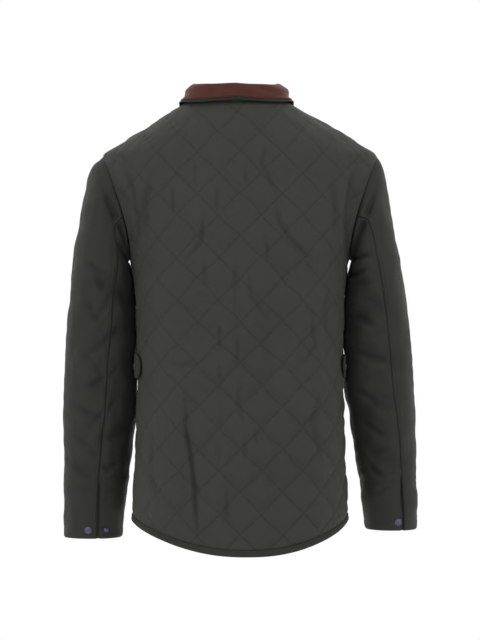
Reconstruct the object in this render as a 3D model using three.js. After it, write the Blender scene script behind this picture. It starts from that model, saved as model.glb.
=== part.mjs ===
// Quilted jacket, filled out as if worn, with no wearer inside. Millimetres, +Z up.
// X points to the wearer's left, Y to the back. The origin lies where the shoulders hold the jacket,
// midway between them and 8 mm below the seam of the back neck.
import * as THREE from 'three';

// Driving dimensions of the cloth and its seams
const wall = 3;
const seamGap = 0.3;
const bindingHeight = 10;
const bindingProud = 0.6;
const quiltPitch = 50;
const puffHeight = 3.5;
const stepsPerDiamond = 4;

// Driving heights, measured from the origin
const neckSideZ = 16;
const neckBackZ = 8;
const neckFrontZ = -58;
const shoulderTipZ = -80.3;
const underarmZ = -257.1;
const hemSideZ = -703;
const hemBackZ = -753;
const ventTopZ = -655;

// Driving widths and depths
const neckHalfWidth = 81;
const neckShift = 5;
const neckShiftFootZ = -45;
const overlap = 22;
const placketPush = wall + 1.2;
const ventGap = 2.5;
const armholeBack = 58;
const armholeFront = 66;
const tailBow = 1.15;
const tailShift = -12;

// The quilting lines run at 45 degrees and cross on the centre back at quiltCrossingZ
const diagonal = quiltPitch * Math.SQRT2;
const lattice = diagonal / stepsPerDiamond;
const quiltCrossingZ = -151;
const flatEdge = 14;
const leastStep = 0.35 * lattice;
const quarterSteps = 60;
const squareSlack = 0.2;
const slack = 0.01;

// Rows of points beside the quilting's own: how near they may come to a row and to a panel's edge,
// and where the curves of the tail and the neck need more of them
const leastRowGap = 2.5;
const edgeRowGap = 6;
const shoulderRowGap = 14;
const tailRowRises = [0, 2, 16];
const cornerRowDrops = [12, 0];
const neckRowRises = [0, 0.5, 3, 7.5, 22, 64];

// Torso sections from the hem up: half width, depth to the back and to the front, and roundness
const torsoSections = [
  { z: -753, halfWidth: 186, back: 143, front: 138, power: 2.4 },
  { z: -703, halfWidth: 185, back: 141, front: 137, power: 2.4 },
  { z: -600, halfWidth: 179.5, back: 135, front: 134, power: 2.4 },
  { z: -500, halfWidth: 176, back: 130, front: 131, power: 2.4 },
  { z: -400, halfWidth: 176, back: 129, front: 131, power: 2.4 },
  { z: -300, halfWidth: 181, back: 134, front: 133, power: 2.4 },
  { z: -257, halfWidth: 186.5, back: 136, front: 133, power: 2.35 },
  { z: -215, halfWidth: 202, back: 136, front: 131, power: 2.2 },
  { z: -172, halfWidth: 222, back: 132, front: 127, power: 2.1 },
  { z: -130, halfWidth: 238, back: 125, front: 120, power: 2 },
  { z: -80, halfWidth: 235, back: 113, front: 108, power: 2 },
  { z: -62, halfWidth: 210, back: 108, front: 103, power: 2 },
  { z: -34, halfWidth: 164, back: 97, front: 91, power: 2 },
  { z: -10, halfWidth: 125.5, back: 86, front: 78, power: 2 },
  { z: 16, halfWidth: neckHalfWidth, back: 74, front: 62, power: 2 },
];

// Large folds of the back: a trough from one end to the other, s across from the centre back
const backFolds = [
  { s0: 205, z0: -130, s1: 222, z1: -250, depth: 6, width: 15 },
  { s0: -205, z0: -130, s1: -222, z1: -250, depth: 6, width: 15 },
  { s0: 100, z0: -499, s1: 72, z1: -734, depth: 3.5, width: 15 },
  { s0: 5, z0: -380, s1: -18, z1: -520, depth: 3, width: 16 },
  { s0: -118, z0: -350, s1: -98, z1: -470, depth: 2.5, width: 16 },
];

// Sleeve sections from the armhole down. inner and outer are distances from the middle of the body
// to the sleeve's two sides, at the heights innerZ and outerZ. back and front are depths from the
// sleeve's middle, which lies at Y = middle.
const sleeveSections = [
  { innerL: 191, innerR: 191, innerZ: -259, outerL: 250, outerR: 243, outerZ: -93,
    middle: 0, back: 62, front: 68 },
  { innerL: 192, innerR: 192, innerZ: -262, outerL: 260.5, outerR: 249, outerZ: -117,
    middle: -1, back: 66, front: 70 },
  { innerL: 191.5, innerR: 191.5, innerZ: -266, outerL: 268, outerR: 254.5, outerZ: -147,
    middle: -3, back: 69, front: 71 },
  { innerL: 190.5, innerR: 190.5, innerZ: -272, outerL: 275.5, outerR: 261.5, outerZ: -182,
    middle: -5, back: 71, front: 71 },
  { innerL: 188.5, innerR: 188.5, innerZ: -281, outerL: 281.5, outerR: 267.5, outerZ: -220,
    middle: -8, back: 71, front: 71 },
  { innerL: 186, innerR: 186, innerZ: -293, outerL: 287, outerR: 276, outerZ: -258,
    middle: -12, back: 70, front: 70 },
  { innerL: 184, innerR: 184, innerZ: -309, outerL: 291, outerR: 281.5, outerZ: -292,
    middle: -16, back: 68, front: 68 },
  { innerL: 182, innerR: 182, innerZ: -331, outerL: 295, outerR: 287.5, outerZ: -325,
    middle: -21, back: 66, front: 66 },
  { innerL: 180.5, innerR: 181, innerZ: -361, outerL: 298, outerR: 293, outerZ: -359,
    middle: -27, back: 64, front: 64 },
  { innerL: 179.5, innerR: 180, innerZ: -395, outerL: 301, outerR: 296.5, outerZ: -395,
    middle: -32, back: 62, front: 62 },
  { innerL: 180.5, innerR: 181, innerZ: -428, outerL: 304, outerR: 299.5, outerZ: -428,
    middle: -36, back: 61, front: 60 },
  { innerL: 180.5, innerR: 180.5, innerZ: -461, outerL: 306, outerR: 301.5, outerZ: -461,
    middle: -39, back: 60, front: 58 },
  { innerL: 179, innerR: 181.5, innerZ: -495, outerL: 306, outerR: 303.5, outerZ: -495,
    middle: -42, back: 58, front: 56 },
  { innerL: 180.5, innerR: 190, innerZ: -528, outerL: 306.5, outerR: 305, outerZ: -528,
    middle: -45, back: 57, front: 54 },
  { innerL: 185, innerR: 195, innerZ: -561, outerL: 307.5, outerR: 306, outerZ: -561,
    middle: -48, back: 55, front: 52 },
  { innerL: 188.5, innerR: 200.5, innerZ: -595, outerL: 307.5, outerR: 307, outerZ: -595,
    middle: -50, back: 53, front: 51 },
  { innerL: 193.5, innerR: 205, innerZ: -628, outerL: 307.5, outerR: 307.5, outerZ: -628,
    middle: -52, back: 51, front: 49 },
  { innerL: 198.5, innerR: 209.5, innerZ: -662, outerL: 308, outerR: 308.5, outerZ: -662,
    middle: -54, back: 49, front: 48 },
  { innerL: 202, innerR: 214, innerZ: -700, outerL: 308, outerR: 309.5, outerZ: -700,
    middle: -56, back: 48, front: 47 },
  { innerL: 205.5, innerR: 218.5, innerZ: -739, outerL: 308, outerR: 309, outerZ: -739,
    middle: -58, back: 47, front: 46 },
];
const cuffZ = -739;
const rightCuffRise = 14;
const cuffBendZ = -395;
const sleevePower = 2.15;

// Large creases across the sleeves, as troughs. angle runs from 0 at the outer side through 90 at
// the back; z is the height there, and slope is the drop for each degree towards the body.
const sleeveCreases = [
  { side: 1, angle: 125, spread: 42, z: -318, slope: 0.35, depth: 5, width: 17 },
  { side: 1, angle: 110, spread: 38, z: -392, slope: -0.3, depth: 4.5, width: 16 },
  { side: 1, angle: 80, spread: 45, z: -470, slope: 0.3, depth: 4, width: 17 },
  { side: 1, angle: 120, spread: 35, z: -560, slope: -0.35, depth: 4, width: 16 },
  { side: 1, angle: 60, spread: 40, z: -610, slope: 0.3, depth: 3.5, width: 16 },
  { side: -1, angle: 128, spread: 34, z: -296, slope: -0.35, depth: 6, width: 15 },
  { side: -1, angle: 115, spread: 40, z: -352, slope: 0.35, depth: 5, width: 17 },
  { side: -1, angle: 85, spread: 45, z: -432, slope: -0.25, depth: 4, width: 17 },
  { side: -1, angle: 115, spread: 38, z: -512, slope: 0.35, depth: 4.5, width: 16 },
  { side: -1, angle: 95, spread: 40, z: -600, slope: -0.3, depth: 4, width: 16 },
];

// The sleeve's two seams, as angles round it, and the vent at the foot of the back one. The back seam
// wanders on its way down, from the armhole (section 0) to the cuff.
const backSeams = [
  { section: 0, left: 101, right: 102 },
  { section: 4, left: 122, right: 88 },
  { section: 9, left: 109, right: 77 },
  { section: 13, left: 101, right: 71 },
  { section: 17, left: 97, right: 66 },
  { section: 20, left: 102, right: 69 },
];
const frontSeamAngle = 233.1;
const leastTurn = 3;
const widestTurn = 30;
const sleeveVentZ = -630;
const sleeveVentGap = 2.5;

// Collar stations from the centre back (0) over the shoulder (0.5) to the centre front (1): height
// of the stand and how far it leans in, length of the fall below the fold, and how far the fall leans
// out, in degrees. The fold lies a little to the left.
const collarStations = [
  { u: 0, stand: 30, lean: 5, fall: 24, flare: 14 },
  { u: 0.25, stand: 28, lean: 9, fall: 28, flare: 22 },
  { u: 0.5, stand: 28, lean: 15, fall: 38, flare: 33 },
  { u: 0.75, stand: 27, lean: 12, fall: 54, flare: 30 },
  { u: 1, stand: 26, lean: 8, fall: 74, flare: 24 },
];
const collarCloth = 2;
const collarShift = 1.5;
const collarInset = 1.5;
const foldRadius = 5;
const foldAngles = [120, 60, 0];
const fallShares = [0.3, 0.6];
const neckMiddleY = -20;
const collarEnd = 0.99;
const underCollarShow = 5;
const collarClearance = 6.6;
const collarLift = 0.5;

// Snap fasteners and the side tabs at the waist
const snapRadius = 6.5;
const snapHeight = 2.6;
const snapRim = 0.45;
const snapCrown = 0.72;
const cuffSnapLift = 0.25;
const frontSnapLift = 0.6;
const cuffSnapZ = -721;
const cuffSnaps = [
  { name: 'cuff_snap_left', angle: 84.5, side: 1, radius: snapRadius },
  { name: 'cuff_snap_left_small', angle: 116.5, side: 1, radius: 4.5 },
  { name: 'cuff_snap_right', angle: 79, side: -1, radius: snapRadius },
];
const frontSnapCount = 7;
const frontSnapTop = -84;
const frontSnapBottom = -655;
const tabTop = -420;
const tabHeight = 40;
const tabBack = { left: 58, right: 38 };
const tabFront = 48;
const tabCloth = 2.4;
const tabLift = 3.4;
const tabSnapReach = 24;
const tabSnapLift = 0.4;

// Colours and finishes
const oliveCloth = new THREE.MeshStandardMaterial({ color: 0x3f3e3a, roughness: 0.75, metalness: 0 });
const sleeveCloth = new THREE.MeshStandardMaterial({ color: 0x34342f, roughness: 0.75, metalness: 0 });
const greenTrim = new THREE.MeshStandardMaterial({ color: 0x23281f, roughness: 0.8, metalness: 0 });
const brownCord = new THREE.MeshStandardMaterial({ color: 0x59322c, roughness: 0.9, metalness: 0 });
const snapMetal = new THREE.MeshStandardMaterial({ color: 0x6d7078, roughness: 0.35, metalness: 1 });

const jacket = new THREE.Group();
const upward = new THREE.Vector3(0, 0, 1);
const radians = Math.PI / 180;

// Value of one column of a table at a place between its rows, on a smooth curve
function lookup(table, key, field, at) {
  const last = table.length - 1;
  if (at <= table[0][key]) return table[0][field];
  if (at >= table[last][key]) return table[last][field];
  let row = 0;
  while (at > table[row + 1][key]) row += 1;
  const slopeAt = (middle) => {
    const before = table[Math.max(middle - 1, 0)];
    const after = table[Math.min(middle + 1, last)];
    return (after[field] - before[field]) / (after[key] - before[key]);
  };
  const span = table[row + 1][key] - table[row][key];
  const t = (at - table[row][key]) / span;
  const rise = table[row + 1][field] - table[row][field];
  const startBend = slopeAt(row) * span;
  const endBend = slopeAt(row + 1) * span;
  const ease = t * t * (3 - 2 * t);
  return table[row][field] + rise * ease
    + startBend * t * (1 - t) * (1 - t) - endBend * t * t * (1 - t);
}

function smoothstep(from, to, value) {
  const t = Math.min(Math.max((value - from) / (to - from), 0), 1);
  return t * t * (3 - 2 * t);
}

// Torso section at a height, facing the back (1) or the front (-1)
function torsoAt(z, facing) {
  return {
    halfWidth: lookup(torsoSections, 'z', 'halfWidth', z),
    depth: lookup(torsoSections, 'z', facing > 0 ? 'back' : 'front', z),
    power: lookup(torsoSections, 'z', 'power', z),
  };
}

// Quarter of a section from the centre line to the side, with the length along the cloth
const quarters = new Map();
function quarterOf(z, facing) {
  const name = `${z.toFixed(4)} ${facing}`;
  if (quarters.has(name)) return quarters.get(name);
  const section = torsoAt(z, facing);
  const points = [];
  let length = 0;
  for (let step = 0; step <= quarterSteps; step += 1) {
    const angle = (step / quarterSteps) * Math.PI / 2;
    const x = section.halfWidth * Math.sin(angle) ** (2 / section.power);
    const y = section.depth * Math.max(Math.cos(angle), 0) ** (2 / section.power);
    if (step > 0) length += Math.hypot(x - points[step - 1].x, y - points[step - 1].y);
    points.push({ x, y, s: length });
  }
  quarters.set(name, points);
  return points;
}

function quarterLength(z, facing) {
  return quarterOf(z, facing)[quarterSteps].s;
}

// Between two neighbouring points of a quarter, where one of their values reaches a wanted one
function alongQuarter(z, facing, field, wanted) {
  const points = quarterOf(z, facing);
  const rising = points[quarterSteps][field] > points[0][field];
  for (let step = 1; step <= quarterSteps; step += 1) {
    const reached = rising ? points[step][field] >= wanted : points[step][field] <= wanted;
    if (!reached) continue;
    const a = points[step - 1];
    const b = points[step];
    const t = Math.min(Math.max((wanted - a[field]) / (b[field] - a[field]), 0), 1);
    return { x: a.x + (b.x - a.x) * t, y: a.y + (b.y - a.y) * t, s: a.s + (b.s - a.s) * t };
  }
  return points[quarterSteps];
}

// Point of the plain torso: s along the cloth from the centre line, positive towards the side
function torsoPoint(s, z, facing, side) {
  const place = alongQuarter(z, facing, 's', Math.abs(s));
  return new THREE.Vector3(side * Math.sign(s) * place.x, facing * place.y, z);
}

// How far a point lies outside the torso, roughly, and the way out from it
function torsoReach(point) {
  const section = torsoAt(point.z, point.y >= 0 ? 1 : -1);
  const across = (Math.abs(point.x) / section.halfWidth) ** section.power;
  const deep = (Math.abs(point.y) / section.depth) ** section.power;
  return (across + deep) ** (1 / section.power) - 1;
}

function outward(point) {
  const delta = 0.5;
  const slope = new THREE.Vector3();
  for (const axis of ['x', 'y', 'z']) {
    const ahead = point.clone();
    const behind = point.clone();
    ahead[axis] += delta;
    behind[axis] -= delta;
    slope[axis] = (torsoReach(ahead) - torsoReach(behind)) / (2 * delta);
  }
  return slope;
}

function clearOfTorso(point, clearance) {
  const moved = point.clone();
  for (let turn = 0; turn < 5; turn += 1) {
    const slope = outward(moved);
    const size = slope.length();
    const lacking = clearance - torsoReach(moved) / size;
    if (lacking > 0) moved.addScaledVector(slope, lacking / size);
  }
  return moved;
}

// Height of the quilting above its sewn lines
function puff(s, z) {
  const rising = Math.sin(Math.PI * (s - z + quiltCrossingZ) / diagonal);
  const falling = Math.sin(Math.PI * (s + z - quiltCrossingZ) / diagonal);
  return puffHeight * Math.sqrt(Math.abs(rising * falling));
}

function foldDepth(folds, s, z) {
  let depth = 0;
  for (const fold of folds) {
    const runS = fold.s1 - fold.s0;
    const runZ = fold.z1 - fold.z0;
    const t = ((s - fold.s0) * runS + (z - fold.z0) * runZ) / (runS * runS + runZ * runZ);
    const along = Math.min(Math.max(t, 0), 1);
    const aside = Math.hypot(s - fold.s0 - runS * along, z - fold.z0 - runZ * along);
    depth += fold.depth * Math.exp(-((aside / fold.width) ** 2));
  }
  return depth;
}

// Edges of the panels
function armholeDepth(z, facing) {
  const middle = (shoulderTipZ + underarmZ) / 2;
  const half = (shoulderTipZ - underarmZ) / 2;
  const part = (z - middle) / half;
  if (Math.abs(part) >= 1) return 0;
  return (facing > 0 ? armholeBack : armholeFront) * Math.sqrt(1 - part * part);
}

function ventOpening(z) {
  return (ventGap / 2) * smoothstep(ventTopZ, hemSideZ, z);
}

// Length along the cloth from the centre line to the side seam, armhole or shoulder seam
function sideEdge(z, facing) {
  const depth = armholeDepth(z, facing);
  const edge = depth > 0 ? alongQuarter(z, facing, 'y', depth).s : quarterLength(z, facing);
  return edge - seamGap / 2 - ventOpening(z);
}

// The tail of the back: where its panel ends on each side, as a length from the centre back
function tailEdge(z, side) {
  const whole = quarterLength(hemSideZ, 1);
  const rise = Math.min(Math.max((z - bindingHeight - hemBackZ) / (hemSideZ - hemBackZ), 0), 1);
  const t = side * ((2 / Math.PI) * Math.asin(Math.sqrt(rise))) ** (1 / tailBow);
  const bend = tailShift / whole;
  return (whole / (2 * bend)) * (Math.sqrt(1 + 4 * bend * (bend + t)) - 1);
}

// Front neck: an oval from the shoulder down to the centre front
function frontNeckX(z) {
  const drop = Math.min(Math.max((neckSideZ - z) / (neckSideZ - neckFrontZ), 0), 1);
  return neckHalfWidth * Math.sqrt(1 - drop * drop);
}

function frontNeckEdge(z) {
  return alongQuarter(z, -1, 'x', frontNeckX(z)).s;
}

function backNeckZ(s) {
  const t = Math.abs(s) / quarterLength(neckSideZ, 1);
  return neckBackZ + (neckSideZ - neckBackZ) * t * t;
}

// The neck lies a little to the left of the middle
function leftOfMiddle(z) {
  return neckShift * smoothstep(neckShiftFootZ, 0, z);
}

// Closed body from rows of points. Each row of the outer sheet runs beside one of the inner sheet.
function closedBody(outerRows, innerRows) {
  const places = [];
  const faces = [];
  const number = (rows) => rows.map((row) => row.map((item) => {
    places.push(item.point.x + leftOfMiddle(item.point.z), item.point.y, item.point.z);
    return { ...item, index: places.length / 3 - 1 };
  }));
  const outer = number(outerRows);
  const inner = number(innerRows);

  // Triangles between two chains. A square cell is cut so that a sewn line runs along its diagonal.
  const fill = (lower, upper, add) => {
    let i = 0;
    let j = 0;
    while (i < lower.length - 1 || j < upper.length - 1) {
      let lowerNext = j === upper.length - 1;
      if (!lowerNext && i < lower.length - 1) {
        const difference = lower[i + 1].s - upper[j + 1].s;
        const square = Math.abs(difference) < squareSlack
          && Math.abs(lower[i].s - upper[j].s) < squareSlack;
        lowerNext = square ? !lower[i].crossing : difference < 0;
      }
      if (lowerNext) {
        add(lower[i], lower[i + 1], upper[j]);
        i += 1;
      } else {
        add(lower[i], upper[j + 1], upper[j]);
        j += 1;
      }
    }
  };
  const push = (a, b, c) => faces.push(a.index, b.index, c.index);
  for (let row = 0; row + 1 < outer.length; row += 1) fill(outer[row], outer[row + 1], push);
  for (let row = 0; row + 1 < inner.length; row += 1) {
    fill(inner[row], inner[row + 1], (a, b, c) => push(a, c, b));
  }

  // The rim joins the two sheets along the foot, the end, the head and the start of the rows
  const end = (row) => row[row.length - 1];
  const rims = [
    [outer[0], inner[0]],
    [outer.map(end), inner.map(end)],
    [[...end(outer)].reverse(), [...end(inner)].reverse()],
    [outer.map((row) => row[0]).reverse(), inner.map((row) => row[0]).reverse()],
  ];
  for (const [outside, inside] of rims) {
    let i = 0;
    let j = 0;
    while (i < outside.length - 1 || j < inside.length - 1) {
      const outsideNext = j === inside.length - 1
        || (i < outside.length - 1 && (i + 1) / outside.length <= (j + 1) / inside.length);
      if (outsideNext) {
        push(outside[i + 1], outside[i], inside[j]);
        i += 1;
      } else {
        push(outside[i], inside[j], inside[j + 1]);
        j += 1;
      }
    }
  }

  // Faces point out when the volume is positive
  const corner = (index) => new THREE.Vector3().fromArray(places, index * 3);
  let volume = 0;
  for (let f = 0; f < faces.length; f += 3) {
    volume += corner(faces[f]).dot(corner(faces[f + 1]).cross(corner(faces[f + 2])));
  }
  if (volume < 0) {
    for (let f = 0; f < faces.length; f += 3) {
      [faces[f + 1], faces[f + 2]] = [faces[f + 2], faces[f + 1]];
    }
  }
  const geometry = new THREE.BufferGeometry();
  geometry.setAttribute('position', new THREE.Float32BufferAttribute(places, 3));
  geometry.setIndex(faces);
  geometry.computeVertexNormals();
  return geometry;
}

function addPiece(name, geometry, material) {
  const mesh = new THREE.Mesh(geometry, material);
  mesh.name = name;
  jacket.add(mesh);
  return mesh;
}

// A strip or patch from two equal grids of points
function addPatch(name, outerGrid, innerGrid, material) {
  const rows = (grid) => grid.map((line) => line.map((point, s) => ({ point, s })));
  addPiece(name, closedBody(rows(outerGrid), rows(innerGrid)), material);
}

// One row of a quilted panel. The plain inner sheet has half the points, so it lies below the deepest
// place of a fold that is near.
function quiltedRow(row, facing, side, shape) {
  const sheets = { outer: [], inner: [] };
  for (const [sheet, every] of [['outer', 1], ['inner', 2]]) {
    const step = lattice * every;
    const spots = [row.start];
    for (let a = Math.ceil(row.start / step); a * step < row.end - leastStep; a += 1) {
      if (a * step - row.start > leastStep) spots.push(a * step);
    }
    if (row.end - row.start > 1) spots.push(row.end);
    for (const s of spots) {
      const z = row.heightAt ? row.heightAt(s) : row.z;
      const base = torsoPoint(s, z, facing, side);
      const away = outward(base).normalize();
      const margin = Math.min(s - row.start, row.end - s, z - row.foot, row.head - z);
      const flat = smoothstep(0, flatEdge, margin);
      const reach = sheet === 'outer' ? [0] : [-lattice, 0, lattice];
      const fold = Math.max(...reach.map((shift) => foldDepth(shape.folds, s + shift, z))) * flat;
      const raised = sheet === 'outer' ? puff(s, z) * flat * shape.quilted(s) : -wall;
      const crossing = (Math.round(s / lattice) + row.level) % 2 === 0;
      base.addScaledVector(away, raised - fold - shape.push(s));
      sheets[sheet].push({ point: base, s, crossing });
    }
  }
  return sheets;
}

function addPanel(name, rows, facing, side, shape) {
  const foot = rows[0].z;
  const head = shape.head;
  const surfaces = rows.map((row) => {
    const level = Math.round((row.z - quiltCrossingZ) / lattice);
    return quiltedRow({ foot, head, level, ...row }, facing, side, shape);
  });
  const outer = surfaces.map((surface) => surface.outer);
  const inner = surfaces.map((surface) => surface.inner);
  addPiece(name, closedBody(outer, inner), oliveCloth);
}

// Heights of the quilting's rows between two limits, with extra ones where an edge needs them
function rowHeights(from, to, extra) {
  const heights = [...extra];
  for (let b = Math.ceil((from - quiltCrossingZ) / lattice); ; b += 1) {
    const z = quiltCrossingZ + b * lattice;
    if (z >= to) break;
    if (extra.every((other) => Math.abs(other - z) > leastRowGap)) heights.push(z);
  }
  return heights.sort((a, b) => a - b);
}

// Rows of the back. Those below the corner of the hem end on the curve of the tail.
function backRows() {
  const lowest = hemBackZ + bindingHeight;
  const corner = hemSideZ + bindingHeight;
  const extra = [
    ...tailRowRises.map((rise) => lowest + rise),
    ...cornerRowDrops.map((drop) => corner - drop),
  ];
  const rows = rowHeights(lowest + edgeRowGap, neckBackZ - edgeRowGap, extra).map((z) => {
    if (z > corner - slack) return { z, start: -sideEdge(z, 1), end: sideEdge(z, 1) };
    const limit = sideEdge(corner, 1);
    return { z, start: Math.max(tailEdge(z, -1), -limit), end: Math.min(tailEdge(z, 1), limit) };
  });
  const neckEdge = sideEdge(neckSideZ, 1);
  return [...rows, { z: neckBackZ, start: -neckEdge, end: neckEdge, heightAt: backNeckZ }];
}

function addBack() {
  addPanel('back', backRows(), 1, 1, {
    folds: backFolds,
    head: neckBackZ,
    push: () => 0,
    quilted: () => 1,
  });
}

// How far the right front's edge is tucked in under the left front's
function tuckIn(s) {
  return placketPush * (1 - smoothstep(2 * lattice, 4 * lattice, s));
}

function frontHeights() {
  const lowest = hemSideZ + bindingHeight;
  const neckRows = neckRowRises.map((rise) => neckFrontZ + rise);
  return rowHeights(lowest + edgeRowGap, neckSideZ - shoulderRowGap, [lowest, ...neckRows]);
}

function addFront(name, side, under) {
  const rows = frontHeights().map((z) => ({
    z,
    start: z > neckFrontZ + slack ? frontNeckEdge(z) : -overlap,
    end: sideEdge(z, -1),
  }));
  const tip = sideEdge(neckSideZ, -1);
  rows.push({ z: neckSideZ, start: tip, end: tip });
  addPanel(name, rows, -1, side, {
    folds: [],
    head: neckSideZ,
    push: (s) => (under ? tuckIn(s) : 0),
    quilted: (s) => smoothstep(lattice, 3 * lattice, s),
  });
}

// Narrow binding below a panel's edge, from spots that lie on that edge
function addBinding(name, facing, side, spots, push) {
  const grids = { outer: [], inner: [] };
  for (const drop of [bindingHeight, seamGap]) {
    const outerLine = [];
    const innerLine = [];
    for (const { s, z } of spots) {
      const base = torsoPoint(s, z - drop, facing, side);
      const away = outward(base).normalize();
      outerLine.push(base.clone().addScaledVector(away, bindingProud - push(s)));
      innerLine.push(base.clone().addScaledVector(away, -wall - bindingProud - push(s)));
    }
    grids.outer.push(outerLine);
    grids.inner.push(innerLine);
  }
  addPatch(name, grids.outer, grids.inner, greenTrim);
}

function evenly(from, to, count) {
  return Array.from({ length: count + 1 }, (_, k) => from + ((to - from) * k) / count);
}

function addBindings() {
  const corner = hemSideZ + bindingHeight;
  const tail = backRows().filter((row) => row.z < corner + slack);
  const right = tail.slice(1).reverse().map((row) => ({ s: row.start, z: row.z }));
  addBinding('hem_back', 1, 1, [...right, ...tail.map((row) => ({ s: row.end, z: row.z }))], () => 0);
  const spots = evenly(-overlap, sideEdge(corner, -1), 16).map((s) => ({ s, z: corner }));
  addBinding('hem_front_left', -1, 1, spots, () => 0);
  addBinding('hem_front_right', -1, -1, spots, (s) => tuckIn(s) * (1 + 2 * bindingProud / placketPush));
}

// Sleeves. The first ring lies on the edges of the two panels, so it has their corners.
const ringAngles = [];
function armholeRings() {
  const middle = (shoulderTipZ + underarmZ) / 2;
  const half = (shoulderTipZ - underarmZ) / 2;
  const corners = [];
  const lowest = Math.floor((underarmZ - quiltCrossingZ) / lattice);
  const highest = Math.ceil((shoulderTipZ - quiltCrossingZ) / lattice);
  for (let b = lowest; b <= highest; b += 1) {
    const z = Math.min(Math.max(quiltCrossingZ + b * lattice, underarmZ), shoulderTipZ);
    const part = Math.min(Math.max((z - middle) / half, -1), 1);
    corners.push({ z, angle: Math.acos(part) / radians });
  }
  return corners.sort((a, b) => a.angle - b.angle);
}

const armholeCorners = armholeRings();
const halfAngles = [];
armholeCorners.forEach((corner, k) => {
  if (k > 0 && corner.angle - armholeCorners[k - 1].angle > widestTurn) {
    halfAngles.push((corner.angle + armholeCorners[k - 1].angle) / 2);
  }
  halfAngles.push(corner.angle);
});
ringAngles.push(...halfAngles, ...halfAngles.slice(1, -1).reverse().map((angle) => 360 - angle));

function armholeCorner(corner, facing, side) {
  const s = sideEdge(corner.z, facing);
  return torsoPoint(s, corner.z, facing, side);
}

function armholePoint(angle, side) {
  const turned = ((angle % 360) + 360) % 360;
  const facing = turned <= 180 ? 1 : -1;
  const folded = facing > 0 ? turned : 360 - turned;
  let k = 1;
  while (k < armholeCorners.length - 1 && armholeCorners[k].angle < folded) k += 1;
  const a = armholeCorners[k - 1];
  const b = armholeCorners[k];
  const t = Math.min(Math.max((folded - a.angle) / (b.angle - a.angle), 0), 1);
  return armholeCorner(a, facing, side).lerp(armholeCorner(b, facing, side), t);
}

// Middle of the left armhole, and the way the sleeve leaves it
const armholeX = 209;
const armholeTilt = 15.3;
const armholeMiddle = new THREE.Vector3(armholeX, 0, (shoulderTipZ + underarmZ) / 2);
const sleeveAxis = new THREE.Vector3(Math.cos(armholeTilt * radians), 0, -Math.sin(armholeTilt * radians));
const sleeveStart = 0.5;

// Outer and inner points of a sleeve at one section and angle, seen on the left; side mirrors them
function sleevePoints(section, angle, side) {
  const mirror = (v) => new THREE.Vector3(v.x * side, v.y, v.z);
  if (!section) {
    const edge = mirror(armholePoint(angle, side));
    const start = edge.clone().addScaledVector(sleeveAxis, sleeveStart);
    const inwards = armholeMiddle.clone().sub(start);
    inwards.addScaledVector(sleeveAxis, -inwards.dot(sleeveAxis)).normalize();
    return [mirror(start), mirror(start.clone().addScaledVector(inwards, wall))];
  }
  const stretch = 1 + rightCuffRise / (cuffZ - cuffBendZ);
  const drop = (z) => (side > 0 || z > cuffBendZ ? z : cuffBendZ + (z - cuffBendZ) * stretch);
  const innerX = side > 0 ? section.innerL : section.innerR;
  const outerX = side > 0 ? section.outerL : section.outerR;
  const inner = new THREE.Vector3(innerX, section.middle, drop(section.innerZ));
  const outer = new THREE.Vector3(outerX, section.middle, drop(section.outerZ));
  const centre = inner.clone().add(outer).multiplyScalar(0.5);
  const reach = outer.clone().sub(centre);
  const c = Math.cos(angle * radians);
  const d = Math.sin(angle * radians);
  const lift = Math.sign(c) * Math.abs(c) ** (2 / sleevePower);
  const deep = Math.sign(d) * Math.abs(d) ** (2 / sleevePower) * (d > 0 ? section.back : section.front);
  const point = centre.clone().addScaledVector(reach, lift);
  point.y += deep;
  const inwards = centre.clone().sub(point).normalize();
  let sunk = 0;
  for (const crease of sleeveCreases) {
    if (crease.side !== side) continue;
    const turn = angle - crease.angle;
    const level = point.z - crease.z + crease.slope * turn;
    sunk += crease.depth * Math.exp(-((level / crease.width) ** 2) - (turn / crease.spread) ** 2);
  }
  const outside = point.addScaledVector(inwards, sunk);
  return [mirror(outside), mirror(outside.clone().addScaledVector(inwards, wall))];
}

// Angles of one section of a sleeve piece. Its edge at the back seam wanders, and the angles between
// follow it; apart holds half the gap at each edge, in degrees.
function sleeveAngles(upper, seamTop, seamNow, apart) {
  const fixed = upper ? frontSeamAngle - 360 : frontSeamAngle;
  const between = [...ringAngles.map((angle) => angle - 360), ...ringAngles].filter((angle) => {
    const low = Math.min(fixed, seamTop) + leastTurn;
    const high = Math.max(fixed, seamTop) - leastTurn;
    return angle > low && angle < high;
  });
  const drifted = between.map((angle) => {
    return angle + ((seamNow - seamTop) * (angle - fixed)) / (seamTop - fixed);
  });
  const way = upper ? 1 : -1;
  const atSeam = seamNow - way * apart.back;
  const atFixed = fixed + way * apart.front;
  return upper ? [atFixed, ...drifted, atSeam] : [atSeam, ...drifted, atFixed];
}

function addSleevePiece(name, side, upper) {
  const grids = { outer: [], inner: [] };
  const seamAt = (k) => lookup(backSeams, 'section', side > 0 ? 'left' : 'right', k);
  [null, ...sleeveSections].forEach((section, k) => {
    const height = section ? section.innerZ : 0;
    const radius = section ? (section.back + section.front) / 2 : armholeBack;
    const slit = (sleeveVentGap / 2) * smoothstep(sleeveVentZ, cuffZ, height);
    const apart = {
      back: (seamGap / 2 + slit) / radius / radians,
      front: seamGap / 2 / radius / radians,
    };
    const angles = sleeveAngles(upper, seamAt(0), seamAt(k), apart);
    const pairs = angles.map((angle) => sleevePoints(section, angle, side));
    grids.outer.push(pairs.map((pair) => pair[0]));
    grids.inner.push(pairs.map((pair) => pair[1]));
  });
  addPatch(name, grids.outer, grids.inner, sleeveCloth);
}

function addSleeves() {
  for (const [word, side] of [['left', 1], ['right', -1]]) {
    addSleevePiece(`sleeve_upper_${word}`, side, true);
    addSleevePiece(`sleeve_under_${word}`, side, false);
  }
}

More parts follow.
